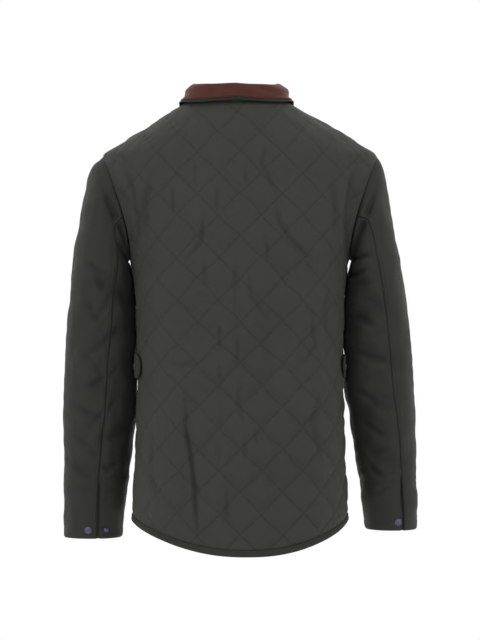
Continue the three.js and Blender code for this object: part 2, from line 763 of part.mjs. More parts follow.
// Collar. The neck seam runs from the centre back (u = 0) to the centre front (u = 1).
function neckPoint(u, side) {
  if (u <= 0.5) {
    const s = u * 2 * quarterLength(neckSideZ, 1);
    return torsoPoint(s, backNeckZ(s), 1, side);
  }
  const angle = (u - 0.5) * Math.PI;
  const z = neckSideZ - (neckSideZ - neckFrontZ) * Math.sin(angle);
  return torsoPoint(frontNeckEdge(z), z, -1, side);
}

function collarProfile(u, side) {
  const at = (field) => lookup(collarStations, 'u', field, u);
  const seam = neckPoint(u, side);
  const ahead = neckPoint(Math.min(u + slack, 1), side);
  const behind = neckPoint(Math.max(u - slack, 0), side);
  const run = ahead.sub(behind).setZ(0).normalize();
  const away = new THREE.Vector3(run.y, -run.x, 0).multiplyScalar(side);
  if (away.dot(new THREE.Vector3(seam.x, seam.y - neckMiddleY, 0)) < 0) away.negate();
  const standTop = at('stand') - foldRadius;
  const line = [];
  for (const part of [0, 1]) {
    const lift = collarLift + (standTop - collarLift) * part;
    const point = seam.clone().addScaledVector(upward, lift);
    point.addScaledVector(away, -at('lean') * part - collarInset);
    point.x += collarShift * part;
    line.push(point);
  }
  const axle = line[1].clone().addScaledVector(away, foldRadius);
  for (const angle of foldAngles) {
    line.push(axle.clone()
      .addScaledVector(away, foldRadius * Math.cos(angle * radians))
      .addScaledVector(upward, foldRadius * Math.sin(angle * radians)));
  }
  const start = line.at(-1);
  const lean = at('flare') * radians;
  const way = away.clone().multiplyScalar(Math.sin(lean)).addScaledVector(upward, -Math.cos(lean));
  const fall = at('fall');
  const runs = [...fallShares.map((share) => fall * share), fall - underCollarShow, fall];
  for (const run of runs) {
    line.push(clearOfTorso(start.clone().addScaledVector(way, run), collarClearance));
  }
  return { line, away };
}

// The collar's stations lie on the corners of the panels' neck edges, so that the seam fits
function collarSpots() {
  const shoulder = quarterLength(neckSideZ, 1);
  const spots = [];
  for (let s = 0; s < shoulder - leastStep; s += lattice) spots.push(s / shoulder / 2);
  spots.push(0.5);
  for (const z of frontHeights().filter((height) => height > neckFrontZ + slack).reverse()) {
    spots.push(0.5 + Math.asin((neckSideZ - z) / (neckSideZ - neckFrontZ)) / Math.PI);
  }
  return [...spots, collarEnd];
}

// A layer of the collar between two distances from its middle line, with some of the line's last
// points left out
function collarLayer(name, near, far, left, material) {
  const grids = { outer: [], inner: [] };
  const half = collarSpots();
  const stations = [...half.slice(1).reverse().map((u) => [u, -1]), ...half.map((u) => [u, 1])];
  for (const [u, side] of stations) {
    const { line, away } = collarProfile(u, side);
    const across = upward.clone().cross(away).normalize();
    const outerLine = [];
    const innerLine = [];
    line.slice(0, line.length - left).forEach((point, k) => {
      const before = line[Math.max(k - 1, 0)];
      const after = line[Math.min(k + 1, line.length - 1)];
      const run = after.clone().sub(before).normalize();
      const out = run.clone().cross(across).normalize();
      outerLine.push(point.clone().addScaledVector(out, far));
      innerLine.push(point.clone().addScaledVector(out, near));
    });
    grids.outer.push(outerLine);
    grids.inner.push(innerLine);
  }
  addPatch(name, grids.outer, grids.inner, material);
}

function addCollar() {
  const apart = seamGap / 2;
  collarLayer('collar_top', apart, apart + collarCloth, 1, brownCord);
  collarLayer('collar_under', -apart - collarCloth, -apart, 0, greenTrim);
}

// Snap fasteners
function addSnap(name, place, direction, radius = snapRadius) {
  const profile = [
    new THREE.Vector2(0, 0),
    new THREE.Vector2(radius, 0),
    new THREE.Vector2(radius, snapHeight * snapRim),
    new THREE.Vector2(radius * snapCrown, snapHeight),
    new THREE.Vector2(0, snapHeight),
  ];
  const geometry = new THREE.LatheGeometry(profile, 10);
  const mesh = addPiece(name, geometry, snapMetal);
  mesh.quaternion.setFromUnitVectors(new THREE.Vector3(0, 1, 0), direction);
  mesh.position.copy(place);
}

function addSnapOnTorso(name, s, z, facing, side, lift) {
  const base = torsoPoint(s, z, facing, side);
  const away = outward(base).normalize();
  addSnap(name, base.addScaledVector(away, lift), away);
}

function addSnapOnSleeve(name, angle, z, side, radius) {
  const lower = sleeveSections.at(-1);
  const upper = sleeveSections.at(-2);
  const t = (z - lower.innerZ) / (upper.innerZ - lower.innerZ);
  const [lowOut] = sleevePoints(lower, angle, side);
  const [highOut] = sleevePoints(upper, angle, side);
  const [low2] = sleevePoints(lower, angle + leastTurn, side);
  const place = lowOut.clone().lerp(highOut, t);
  const across = low2.sub(lowOut);
  const away = across.cross(highOut.sub(lowOut)).normalize();
  const centreX = side * (side > 0 ? lower.innerL + lower.outerL : lower.innerR + lower.outerR) / 2;
  if (away.dot(new THREE.Vector3(place.x - centreX, place.y - lower.middle, 0)) < 0) away.negate();
  addSnap(name, place.addScaledVector(away, cuffSnapLift), away, radius);
}

function addSnaps() {
  for (let k = 0; k < frontSnapCount; k += 1) {
    const z = frontSnapTop + ((frontSnapBottom - frontSnapTop) * k) / (frontSnapCount - 1);
    addSnapOnTorso(`front_snap_${k + 1}`, 0, z, -1, 1, frontSnapLift);
  }
  for (const snap of cuffSnaps) {
    addSnapOnSleeve(snap.name, snap.angle, cuffSnapZ, snap.side, snap.radius);
  }
}

// Side tabs at the waist, across each side seam
function addTabs() {
  for (const [word, side] of [['left', 1], ['right', -1]]) {
    const grids = { outer: [], inner: [] };
    for (const z of evenly(tabTop - tabHeight, tabTop, 2)) {
      const outerLine = [];
      const innerLine = [];
      for (const run of evenly(-tabFront, tabBack[word], 8)) {
        const facing = run >= 0 ? 1 : -1;
        const s = quarterLength(z, facing) - Math.abs(run);
        const base = torsoPoint(s, z, facing, side);
        const away = outward(base).normalize();
        innerLine.push(base.clone().addScaledVector(away, tabLift));
        outerLine.push(base.clone().addScaledVector(away, tabLift + tabCloth));
      }
      grids.outer.push(outerLine);
      grids.inner.push(innerLine);
    }
    addPatch(`tab_${word}`, grids.outer, grids.inner, oliveCloth);
    const snapZ = tabTop - tabHeight / 2;
    const snapS = quarterLength(snapZ, 1) - tabSnapReach;
    addSnapOnTorso(`tab_snap_${word}`, snapS, snapZ, 1, side, tabLift + tabCloth + tabSnapLift);
  }
}

addBack();
addFront('front_left', 1, false);
addFront('front_right', -1, true);
addBindings();
addSleeves();
addCollar();
addTabs();
addSnaps();

export default jacket;
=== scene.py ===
# Quilted jacket, filled out as if worn, seen from the back. Metres, +Z up, the back towards +Y and the
# wearer's left towards +X. The origin lies between the shoulders, 8 mm below the back neck seam.
import math

import bpy
import numpy as np
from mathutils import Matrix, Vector


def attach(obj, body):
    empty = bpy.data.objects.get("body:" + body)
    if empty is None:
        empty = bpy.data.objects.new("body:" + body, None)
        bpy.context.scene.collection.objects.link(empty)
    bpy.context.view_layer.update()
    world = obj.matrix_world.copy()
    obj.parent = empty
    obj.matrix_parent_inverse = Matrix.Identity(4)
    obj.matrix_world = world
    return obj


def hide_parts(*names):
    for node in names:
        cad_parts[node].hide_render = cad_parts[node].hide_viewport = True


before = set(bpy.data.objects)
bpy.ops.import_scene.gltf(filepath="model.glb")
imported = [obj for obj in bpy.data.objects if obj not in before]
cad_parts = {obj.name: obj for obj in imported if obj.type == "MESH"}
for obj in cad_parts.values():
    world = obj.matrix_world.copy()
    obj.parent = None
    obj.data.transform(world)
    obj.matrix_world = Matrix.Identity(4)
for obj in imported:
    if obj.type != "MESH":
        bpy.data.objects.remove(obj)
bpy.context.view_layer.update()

# Driving dimensions of the cloth and its seams
WALL = 0.003
SEAM_GAP = 0.0
BINDING_HEIGHT = 0.010
BINDING_PROUD = 0.0009
QUILT_PITCH = 0.050
PUFF_HEIGHT = 0.0042
VALLEY_WIDTH = 0.0085
EDGE_ROLL = 0.006
EDGE_DROP = 0.0014
HEAD_FOOT_Z = -0.200
FLAT_EDGE = 0.014

# Driving heights, measured from the origin
NECK_SIDE_Z = 0.016
NECK_BACK_Z = 0.008
NECK_FRONT_Z = -0.058
SHOULDER_TIP_Z = -0.0803
UNDERARM_Z = -0.2571
HEM_SIDE_Z = -0.703
HEM_BACK_Z = -0.753
VENT_TOP_Z = -0.655
QUILT_CROSSING_Z = -0.151

# Driving widths and depths
NECK_HALF_WIDTH = 0.081
NECK_SHIFT = 0.005
NECK_SHIFT_FOOT_Z = -0.045
OVERLAP = 0.022
PLACKET_PUSH = WALL + 0.0012
VENT_GAP = 0.0025
ARMHOLE_BACK = 0.058
ARMHOLE_FRONT = 0.066
TAIL_BOW = 1.15
TAIL_SHIFT = -0.012

# Torso sections from the hem up: half width, depth to the back and to the front, and roundness
TORSO_COLUMNS = ("z", "half_width", "back", "front", "power")
TORSO_SECTIONS = (
    (-0.753, 0.1860, 0.143, 0.138, 2.40),
    (-0.703, 0.1850, 0.141, 0.137, 2.40),
    (-0.600, 0.1795, 0.135, 0.134, 2.40),
    (-0.500, 0.1760, 0.130, 0.131, 2.40),
    (-0.400, 0.1760, 0.129, 0.131, 2.40),
    (-0.300, 0.1810, 0.134, 0.133, 2.40),
    (-0.257, 0.1865, 0.136, 0.133, 2.35),
    (-0.215, 0.2020, 0.136, 0.131, 2.20),
    (-0.172, 0.2220, 0.132, 0.127, 2.10),
    (-0.130, 0.2380, 0.125, 0.120, 2.00),
    (-0.080, 0.2350, 0.113, 0.108, 2.00),
    (-0.062, 0.2100, 0.108, 0.103, 2.00),
    (-0.034, 0.1640, 0.097, 0.091, 2.00),
    (-0.010, 0.1255, 0.086, 0.078, 2.00),
    (0.016, NECK_HALF_WIDTH, 0.074, 0.062, 2.00),
)

# Sleeve sections from the armhole down. Inner and outer are distances from the middle of the body to
# the two sides of the sleeve, left and right. Back and front are depths from the sleeve's middle.
SLEEVE_COLUMNS = (
    "inner_left", "inner_right", "inner_z", "outer_left", "outer_right", "outer_z", "middle", "back", "front",
)
SLEEVE_SECTIONS = (
    (0.1910, 0.1910, -0.259, 0.2500, 0.2430, -0.093, 0.000, 0.062, 0.068),
    (0.1920, 0.1920, -0.262, 0.2605, 0.2490, -0.117, -0.001, 0.066, 0.070),
    (0.1900, 0.1900, -0.266, 0.2680, 0.2545, -0.147, -0.003, 0.069, 0.071),
    (0.1880, 0.1880, -0.272, 0.2755, 0.2615, -0.182, -0.005, 0.071, 0.071),
    (0.1855, 0.1855, -0.281, 0.2815, 0.2675, -0.220, -0.008, 0.071, 0.071),
    (0.1833, 0.1833, -0.293, 0.2870, 0.2760, -0.258, -0.012, 0.070, 0.070),
    (0.1820, 0.1820, -0.309, 0.2910, 0.2815, -0.292, -0.016, 0.068, 0.068),
    (0.1805, 0.1805, -0.331, 0.2950, 0.2875, -0.325, -0.021, 0.066, 0.066),
    (0.1788, 0.1793, -0.361, 0.2980, 0.2930, -0.359, -0.027, 0.064, 0.064),
    (0.1780, 0.1780, -0.395, 0.3010, 0.2965, -0.395, -0.032, 0.062, 0.062),
    (0.1805, 0.1810, -0.428, 0.3040, 0.2995, -0.428, -0.036, 0.061, 0.060),
    (0.1790, 0.1790, -0.461, 0.3060, 0.3015, -0.461, -0.039, 0.060, 0.058),
    (0.1790, 0.1815, -0.495, 0.3060, 0.3035, -0.495, -0.042, 0.058, 0.056),
    (0.1805, 0.1900, -0.528, 0.3065, 0.3050, -0.528, -0.045, 0.057, 0.054),
    (0.1850, 0.1950, -0.561, 0.3075, 0.3060, -0.561, -0.048, 0.055, 0.052),
    (0.1885, 0.2005, -0.595, 0.3075, 0.3070, -0.595, -0.050, 0.053, 0.051),
    (0.1935, 0.2050, -0.628, 0.3075, 0.3075, -0.628, -0.052, 0.051, 0.049),
    (0.1985, 0.2095, -0.662, 0.3080, 0.3085, -0.662, -0.054, 0.049, 0.048),
    (0.2020, 0.2140, -0.700, 0.3080, 0.3095, -0.700, -0.056, 0.048, 0.047),
    (0.2055, 0.2185, -0.739, 0.3080, 0.3090, -0.739, -0.058, 0.047, 0.046),
)
CUFF_Z = -0.739
RIGHT_CUFF_RISE = 0.014
CUFF_BEND_Z = -0.395
CUFF_RADIUS = 0.048
SLEEVE_POWER = 2.15
SLEEVE_START = -0.0006
ARMHOLE_MIDDLE_X = 0.209
ARMHOLE_TILT = math.radians(15.3)

# The sleeves' seams as angles round them, from 0 at the outer side through 90 at the back. The back
# seam wanders on its way down.
BACK_SEAM_COLUMNS = ("section", "left", "right")
BACK_SEAMS = (
    (0, 101.0, 102.0),
    (4, 122.0, 88.0),
    (9, 109.0, 77.0),
    (13, 101.0, 71.0),
    (17, 97.0, 66.0),
    (20, 102.0, 69.0),
)
FRONT_SEAM = 233.1
SLEEVE_VENT_Z = -0.630
SLEEVE_VENT_GAP = 0.0025
VENT_UNDERLAP = 0.012
WELT_WIDTH = 0.008
WELT_HEIGHT = 0.0011
WELT_ROWS = (0.0018, 0.0064)
CUFF_ROWS = (0.016, 0.085)

# Collar stations from the centre back (0) over the shoulder (0.5) to the centre front (1): height of
# the stand and how far it leans in, length of the fall and how far it leans out, in degrees
COLLAR_COLUMNS = ("u", "stand", "lean", "fall", "flare")
COLLAR_STATIONS = (
    (0.00, 0.030, 0.005, 0.024, 14.0),
    (0.25, 0.028, 0.009, 0.028, 22.0),
    (0.50, 0.028, 0.015, 0.038, 33.0),
    (0.75, 0.027, 0.012, 0.054, 30.0),
    (1.00, 0.026, 0.008, 0.074, 24.0),
)
COLLAR_CLOTH = 0.002
COLLAR_SHIFT = 0.0015
COLLAR_INSET = 0.0015
FOLD_RADIUS = 0.005
COLLAR_END = 0.99
UNDER_COLLAR_SHOW = 0.005
COLLAR_CLEARANCE = 0.0066
COLLAR_LIFT = -0.0015

# Snap fasteners and the side tabs at the waist
SNAP_RADIUS = 0.0065
SNAP_HEIGHT = 0.0026
FRONT_SNAP_COUNT = 7
FRONT_SNAP_TOP = -0.084
FRONT_SNAP_BOTTOM = -0.655
TAB_TOP = -0.420
TAB_HEIGHT = 0.040
TAB_BACK = {"left": 0.058, "right": 0.038}
TAB_SNAP_REACH = 0.024
TAB_FRONT = 0.048
TAB_CLOTH = 0.0024
TAB_LIFT = 0.0034


# Value of a column of a table at places between its rows, on the same smooth curve as in the solids
def lookup(rows, columns, field, at):
    rows = np.asarray(rows, dtype=float)
    keys = rows[:, 0]
    values = rows[:, columns.index(field)]
    at = np.clip(np.asarray(at, dtype=float), keys[0], keys[-1])
    last = len(keys) - 1
    before = np.maximum(np.arange(last + 1) - 1, 0)
    after = np.minimum(np.arange(last + 1) + 1, last)
    slopes = (values[after] - values[before]) / (keys[after] - keys[before])
    row = np.clip(np.searchsorted(keys, at, side="right") - 1, 0, last - 1)
    span = keys[row + 1] - keys[row]
    t = (at - keys[row]) / span
    rise = values[row + 1] - values[row]
    ease = t * t * (3 - 2 * t)
    bends = slopes[row] * span * t * (1 - t) ** 2 - slopes[row + 1] * span * t * t * (1 - t)
    return values[row] + rise * ease + bends


def smoothstep(start, end, value):
    t = np.clip((np.asarray(value, dtype=float) - start) / (end - start), 0, 1)
    return t * t * (3 - 2 * t)


def torso_at(z, field):
    return lookup(TORSO_SECTIONS, TORSO_COLUMNS, field, z)


# The plain torso as a grid of levels and shares of the way from the centre line to the side
LEVEL_COUNT = 520
SHARE_COUNT = 257
levels = np.linspace(HEM_BACK_Z - 0.012, NECK_SIDE_Z, LEVEL_COUNT)
shares = np.linspace(0, 1, SHARE_COUNT)


def quarter_table(facing):
    angles = np.linspace(0, math.pi / 2, 600)
    width = torso_at(levels, "half_width")[:, None]
    depth = torso_at(levels, "back" if facing > 0 else "front")[:, None]
    power = torso_at(levels, "power")[:, None]
    x = width * np.sin(angles)[None, :] ** (2 / power)
    y = depth * np.clip(np.cos(angles), 0, 1)[None, :] ** (2 / power)
    steps = np.hypot(np.diff(x, axis=1), np.diff(y, axis=1))
    length = np.concatenate([np.zeros((LEVEL_COUNT, 1)), np.cumsum(steps, axis=1)], axis=1)
    whole = length[:, -1]
    evenly = [np.interp(shares * whole[k], length[k], x[k]) for k in range(LEVEL_COUNT)]
    deep = [np.interp(shares * whole[k], length[k], y[k]) for k in range(LEVEL_COUNT)]
    return {"x": np.array(evenly), "y": np.array(deep), "length": whole}


QUARTERS = {1: quarter_table(1), -1: quarter_table(-1)}


def quarter_length(z, facing):
    return np.interp(z, levels, QUARTERS[facing]["length"])


def level_row(z):
    place = (np.asarray(z, dtype=float) - levels[0]) / (levels[1] - levels[0])
    place = np.clip(place, 0, LEVEL_COUNT - 1.001)
    low = place.astype(int)
    return low, place - low


# Points of the plain torso: s along the cloth from the centre line, positive towards the side
def torso_points(s, z, facing, side):
    s, z = np.broadcast_arrays(np.asarray(s, dtype=float), np.asarray(z, dtype=float))
    table = QUARTERS[facing]
    low, part = level_row(z)
    across = np.clip(np.abs(s) / quarter_length(z, facing), 0, 1) * (SHARE_COUNT - 1)
    column = np.minimum(across.astype(int), SHARE_COUNT - 2)
    over = across - column
    found = []
    for name in ("x", "y"):
        grid = table[name]
        lower = grid[low, column] * (1 - over) + grid[low, column + 1] * over
        upper = grid[low + 1, column] * (1 - over) + grid[low + 1, column + 1] * over
        found.append(lower * (1 - part) + upper * part)
    return np.stack([side * np.sign(s) * found[0], facing * found[1], z], axis=-1)


# Where a quarter reaches a wanted depth or width, as a length along the cloth
def quarter_place(z, facing, name, wanted):
    table = QUARTERS[facing]
    places = []
    for height, value in zip(np.atleast_1d(z), np.atleast_1d(wanted)):
        low, part = level_row(height)
        line = table[name][low] * (1 - part) + table[name][low + 1] * part
        line = line if line[-1] > line[0] else line[::-1]
        share = np.interp(value, line, shares if table[name][low][-1] > table[name][low][0] else shares[::-1])
        places.append(share * float(quarter_length(height, facing)))
    return np.array(places)


# The neck lies a little to the left of the middle
def shifted(points):
    moved = points.copy()
    moved[..., 0] += NECK_SHIFT * smoothstep(NECK_SHIFT_FOOT_Z, 0, points[..., 2])
    return moved


# How far points lie outside the torso, roughly, and the way out from it
def torso_reach(points):
    x, y, z = points[..., 0], points[..., 1], points[..., 2]
    depth = np.where(y >= 0, torso_at(z, "back"), torso_at(z, "front"))
    power = torso_at(z, "power")
    across = (np.abs(x) / torso_at(z, "half_width")) ** power
    deep = (np.abs(y) / depth) ** power
    return (across + deep) ** (1 / power) - 1


def outward(points):
    delta = 0.0005
    slope = np.zeros_like(points)
    for axis in range(3):
        step = np.zeros(3)
        step[axis] = delta
        slope[..., axis] = (torso_reach(points + step) - torso_reach(points - step)) / (2 * delta)
    return slope


def unit(vectors):
    return vectors / np.maximum(np.linalg.norm(vectors, axis=-1, keepdims=True), 1e-9)


def clear_of_torso(points, clearance):
    moved = points.copy()
    for turn in range(5):
        slope = outward(moved)
        size = np.linalg.norm(slope, axis=-1)
        lacking = np.maximum(clearance - torso_reach(moved) / size, 0)
        moved = moved + slope * (lacking / size)[..., None]
    return moved


# Smooth, even noise from a few plane waves, about -1 to 1
def soft_noise(across, up, size, seed, waves=7):
    rng = np.random.default_rng(seed)
    total = np.zeros(np.broadcast(across, up).shape)
    for wave in range(waves):
        turn = rng.uniform(0, 2 * math.pi)
        phase = rng.uniform(0, 2 * math.pi)
        length = size * rng.uniform(0.7, 1.4)
        way = (across * math.cos(turn) + up * math.sin(turn)) / length
        total = total + np.sin(2 * math.pi * way + phase)
    return total / math.sqrt(waves)


# Creases: troughs along short paths of (x, z), each with a soft ridge beside it. Depth below zero turns
# a trough into a ridge.
def crease_depth(x, z, creases):
    total = np.zeros(x.shape)
    for depth, width, path in creases:
        corners = np.array(path, dtype=float)
        runs = np.diff(corners, axis=0)
        lengths = np.hypot(runs[:, 0], runs[:, 1])
        passed = np.concatenate([[0], np.cumsum(lengths)])
        nearest = np.full(x.shape, 9.0)
        along = np.zeros(x.shape)
        aside = np.zeros(x.shape)
        for k in range(len(runs)):
            from_x = x - corners[k, 0]
            from_z = z - corners[k, 1]
            t = np.clip((from_x * runs[k, 0] + from_z * runs[k, 1]) / lengths[k] ** 2, 0, 1)
            distance = np.hypot(from_x - runs[k, 0] * t, from_z - runs[k, 1] * t)
            closer = distance < nearest
            nearest = np.where(closer, distance, nearest)
            along = np.where(closer, (passed[k] + lengths[k] * t) / passed[-1], along)
            turn = np.sign(runs[k, 0] * from_z - runs[k, 1] * from_x)
            aside = np.where(closer, turn * distance, aside)
        taper = 0.25 + 0.75 * smoothstep(0, 0.3, along) * smoothstep(1, 0.7, along)
        trough = np.exp(-((nearest / width) ** 2))
        beside = np.exp(-(((aside - 1.9 * width) / (1.3 * width)) ** 2))
        beside = beside * np.exp(-((nearest / (4 * width)) ** 4))
        total = total + depth * taper * (trough - 0.35 * beside)
    return total


# Creases of the back, as seen from behind
BACK_CREASES = (
    # depth, width, path of (x, z)
    (0.0040, 0.0036, ((0.093, -0.494), (0.091, -0.543), (0.083, -0.585), (0.078, -0.626), (0.070, -0.726))),
    (0.0020, 0.0034, ((0.078, -0.628), (0.064, -0.652))),
    (0.0014, 0.0032, ((0.009, -0.253), (0.008, -0.290), (0.009, -0.361))),
    (0.0018, 0.0034, ((0.005, -0.384), (0.004, -0.442))),
    (0.0018, 0.0032, ((0.034, -0.366), (0.035, -0.413))),
    (0.0018, 0.0032, ((0.034, -0.430), (0.033, -0.476))),
    (0.0016, 0.0034, ((-0.002, -0.464), (0.004, -0.494), (-0.008, -0.537))),
    (0.0014, 0.0032, ((0.031, -0.499), (0.034, -0.550))),
    (0.0014, 0.0032, ((0.034, -0.562), (0.036, -0.614))),
    (0.0020, 0.0034, ((0.022, -0.636), (0.023, -0.693))),
    (0.0020, 0.0036, ((0.060, -0.184), (0.065, -0.232), (0.091, -0.261))),
    (0.0020, 0.0034, ((0.114, -0.143), (0.112, -0.184))),
    (0.0018, 0.0032, ((0.038, -0.138), (0.038, -0.184))),
    (0.0014, 0.0032, ((0.074, -0.098), (0.075, -0.138))),
    (0.0014, 0.0032, ((-0.009, -0.108), (-0.010, -0.138))),
    (0.0016, 0.0034, ((-0.043, -0.069), (-0.036, -0.100), (-0.069, -0.167))),
    (0.0026, 0.0042, ((-0.060, -0.167), (-0.066, -0.200), (-0.081, -0.224), (-0.120, -0.263))),
    (0.0016, 0.0034, ((-0.045, -0.229), (-0.046, -0.263))),
    (0.0016, 0.0032, ((0.060, -0.263), (0.059, -0.304))),
    (0.0014, 0.0036, ((-0.014, -0.280), (-0.018, -0.322), (-0.050, -0.366))),
    (0.0022, 0.0040, ((-0.120, -0.349), (-0.124, -0.408), (-0.098, -0.442))),
    (0.0016, 0.0036, ((-0.026, -0.545), (-0.027, -0.570))),
    (0.0016, 0.0034, ((-0.006, -0.560), (-0.008, -0.590))),
    (0.0030, 0.0060, ((0.196, -0.100), (0.178, -0.150), (0.171, -0.205), (0.177, -0.250))),
    (0.0026, 0.0070, ((0.150, -0.120), (0.160, -0.165), (0.158, -0.215))),
    (0.0030, 0.0060, ((-0.196, -0.095), (-0.184, -0.140), (-0.178, -0.190), (-0.182, -0.250))),
    (0.0022, 0.0070, ((-0.150, -0.120), (-0.160, -0.170), (-0.160, -0.220))),
    (0.0020, 0.0060, ((-0.135, -0.480), (-0.120, -0.530), (-0.136, -0.600))),
    (0.0016, 0.0070, ((0.130, -0.430), (0.100, -0.437), (0.070, -0.432))),
    (0.0018, 0.0060, ((-0.150, -0.300), (-0.140, -0.345), (-0.150, -0.395))),
    (0.0018, 0.0060, ((0.146, -0.560), (0.150, -0.620), (0.136, -0.665))),
    (-0.0020, 0.0200, ((0.120, -0.300), (0.126, -0.400), (0.118, -0.520))),
    (-0.0018, 0.0220, ((-0.080, -0.300), (-0.090, -0.420), (-0.070, -0.560))),
    (-0.0016, 0.0180, ((0.050, -0.420), (0.052, -0.560), (0.046, -0.680))),
)

# Creases of the two fronts, like those of the back
FRONT_CREASES = (
    (0.0022, 0.0040, ((0.100, -0.190), (0.094, -0.240), (0.110, -0.290))),
    (0.0020, 0.0038, ((0.060, -0.330), (0.064, -0.390))),
    (0.0026, 0.0042, ((0.120, -0.420), (0.104, -0.480), (0.110, -0.560))),
    (0.0018, 0.0036, ((0.050, -0.520), (0.056, -0.600))),
    (0.0028, 0.0060, ((0.192, -0.110), (0.178, -0.160), (0.175, -0.230))),
    (0.0024, 0.0040, ((-0.090, -0.180), (-0.100, -0.230), (-0.084, -0.280))),
    (0.0020, 0.0038, ((-0.052, -0.350), (-0.060, -0.420))),
    (0.0026, 0.0042, ((-0.118, -0.400), (-0.128, -0.470), (-0.112, -0.540))),
    (0.0020, 0.0036, ((-0.070, -0.580), (-0.074, -0.650))),
    (0.0028, 0.0060, ((-0.192, -0.110), (-0.180, -0.165), (-0.178, -0.235))),
    (-0.0018, 0.0200, ((0.080, -0.260), (0.084, -0.380), (0.076, -0.520))),
    (-0.0018, 0.0200, ((-0.080, -0.300), (-0.086, -0.420), (-0.074, -0.560))),
)


# Height of the quilting above its sewn lines, with small puckers beside them
def quilting(s, z):
    diagonal = QUILT_PITCH * math.sqrt(2)
    rising = (s - z + QUILT_CROSSING_Z) / diagonal
    falling = (s + z - QUILT_CROSSING_Z) / diagonal
    height = np.full(s.shape, 1.0)
    puckers = np.zeros(s.shape)
    for across, along, seed in ((rising, falling, 11), (falling, rising, 12)):
        distance = np.abs(across - np.round(across)) * QUILT_PITCH
        height = height * (1 - np.exp(-((distance / VALLEY_WIDTH) ** 2)))
        run = along * QUILT_PITCH + 0.004 * soft_noise(s, z, 0.05, seed)
        strength = np.exp(-((distance / 0.010) ** 2)) * (0.6 + 0.4 * soft_noise(s, z, 0.09, seed + 5))
        puckers = puckers + strength * np.sin(2 * math.pi * run / 0.0115)
    dome = np.sqrt(np.abs(np.sin(math.pi * rising) * np.sin(math.pi * falling)))
    return PUFF_HEIGHT * (0.55 * height + 0.45 * dome), 0.00045 * puckers


# Edges of the panels
def armhole_depth(z, facing):
    middle = (SHOULDER_TIP_Z + UNDERARM_Z) / 2
    half = (SHOULDER_TIP_Z - UNDERARM_Z) / 2
    part = np.clip((np.asarray(z, dtype=float) - middle) / half, -1, 1)
    return (ARMHOLE_BACK if facing > 0 else ARMHOLE_FRONT) * np.sqrt(1 - part * part)


def side_edge(z, facing):
    z = np.atleast_1d(np.asarray(z, dtype=float))
    depth = armhole_depth(z, facing)
    whole = quarter_length(z, facing)
    edge = np.where(depth > 1e-6, quarter_place(z, facing, "y", depth), whole)
    return edge - SEAM_GAP / 2 - VENT_GAP / 2 * smoothstep(VENT_TOP_Z, HEM_SIDE_Z, z)


# The tail's lowest point lies a little to the right of the centre back
def tail_height(s):
    whole = quarter_length(HEM_SIDE_Z, 1)
    across = s - TAIL_SHIFT * (1 - (s / whole) ** 2)
    t = np.clip(np.abs(across) / whole, 0, 1) ** TAIL_BOW
    return HEM_BACK_Z + (HEM_SIDE_Z - HEM_BACK_Z) * np.sin(math.pi / 2 * t) ** 2


def back_neck_height(s):
    t = np.clip(np.abs(s) / quarter_length(NECK_SIDE_Z, 1), 0, 1)
    return NECK_BACK_Z + (NECK_SIDE_Z - NECK_BACK_Z) * t * t


def front_neck_edge(z):
    drop = np.clip((NECK_SIDE_Z - np.asarray(z, dtype=float)) / (NECK_SIDE_Z - NECK_FRONT_Z), 0, 1)
    return quarter_place(z, -1, "x", NECK_HALF_WIDTH * np.sqrt(1 - drop * drop))


# A closed sheet of cloth from an outer grid of points and an inner one with every fourth point
EVERY = 4


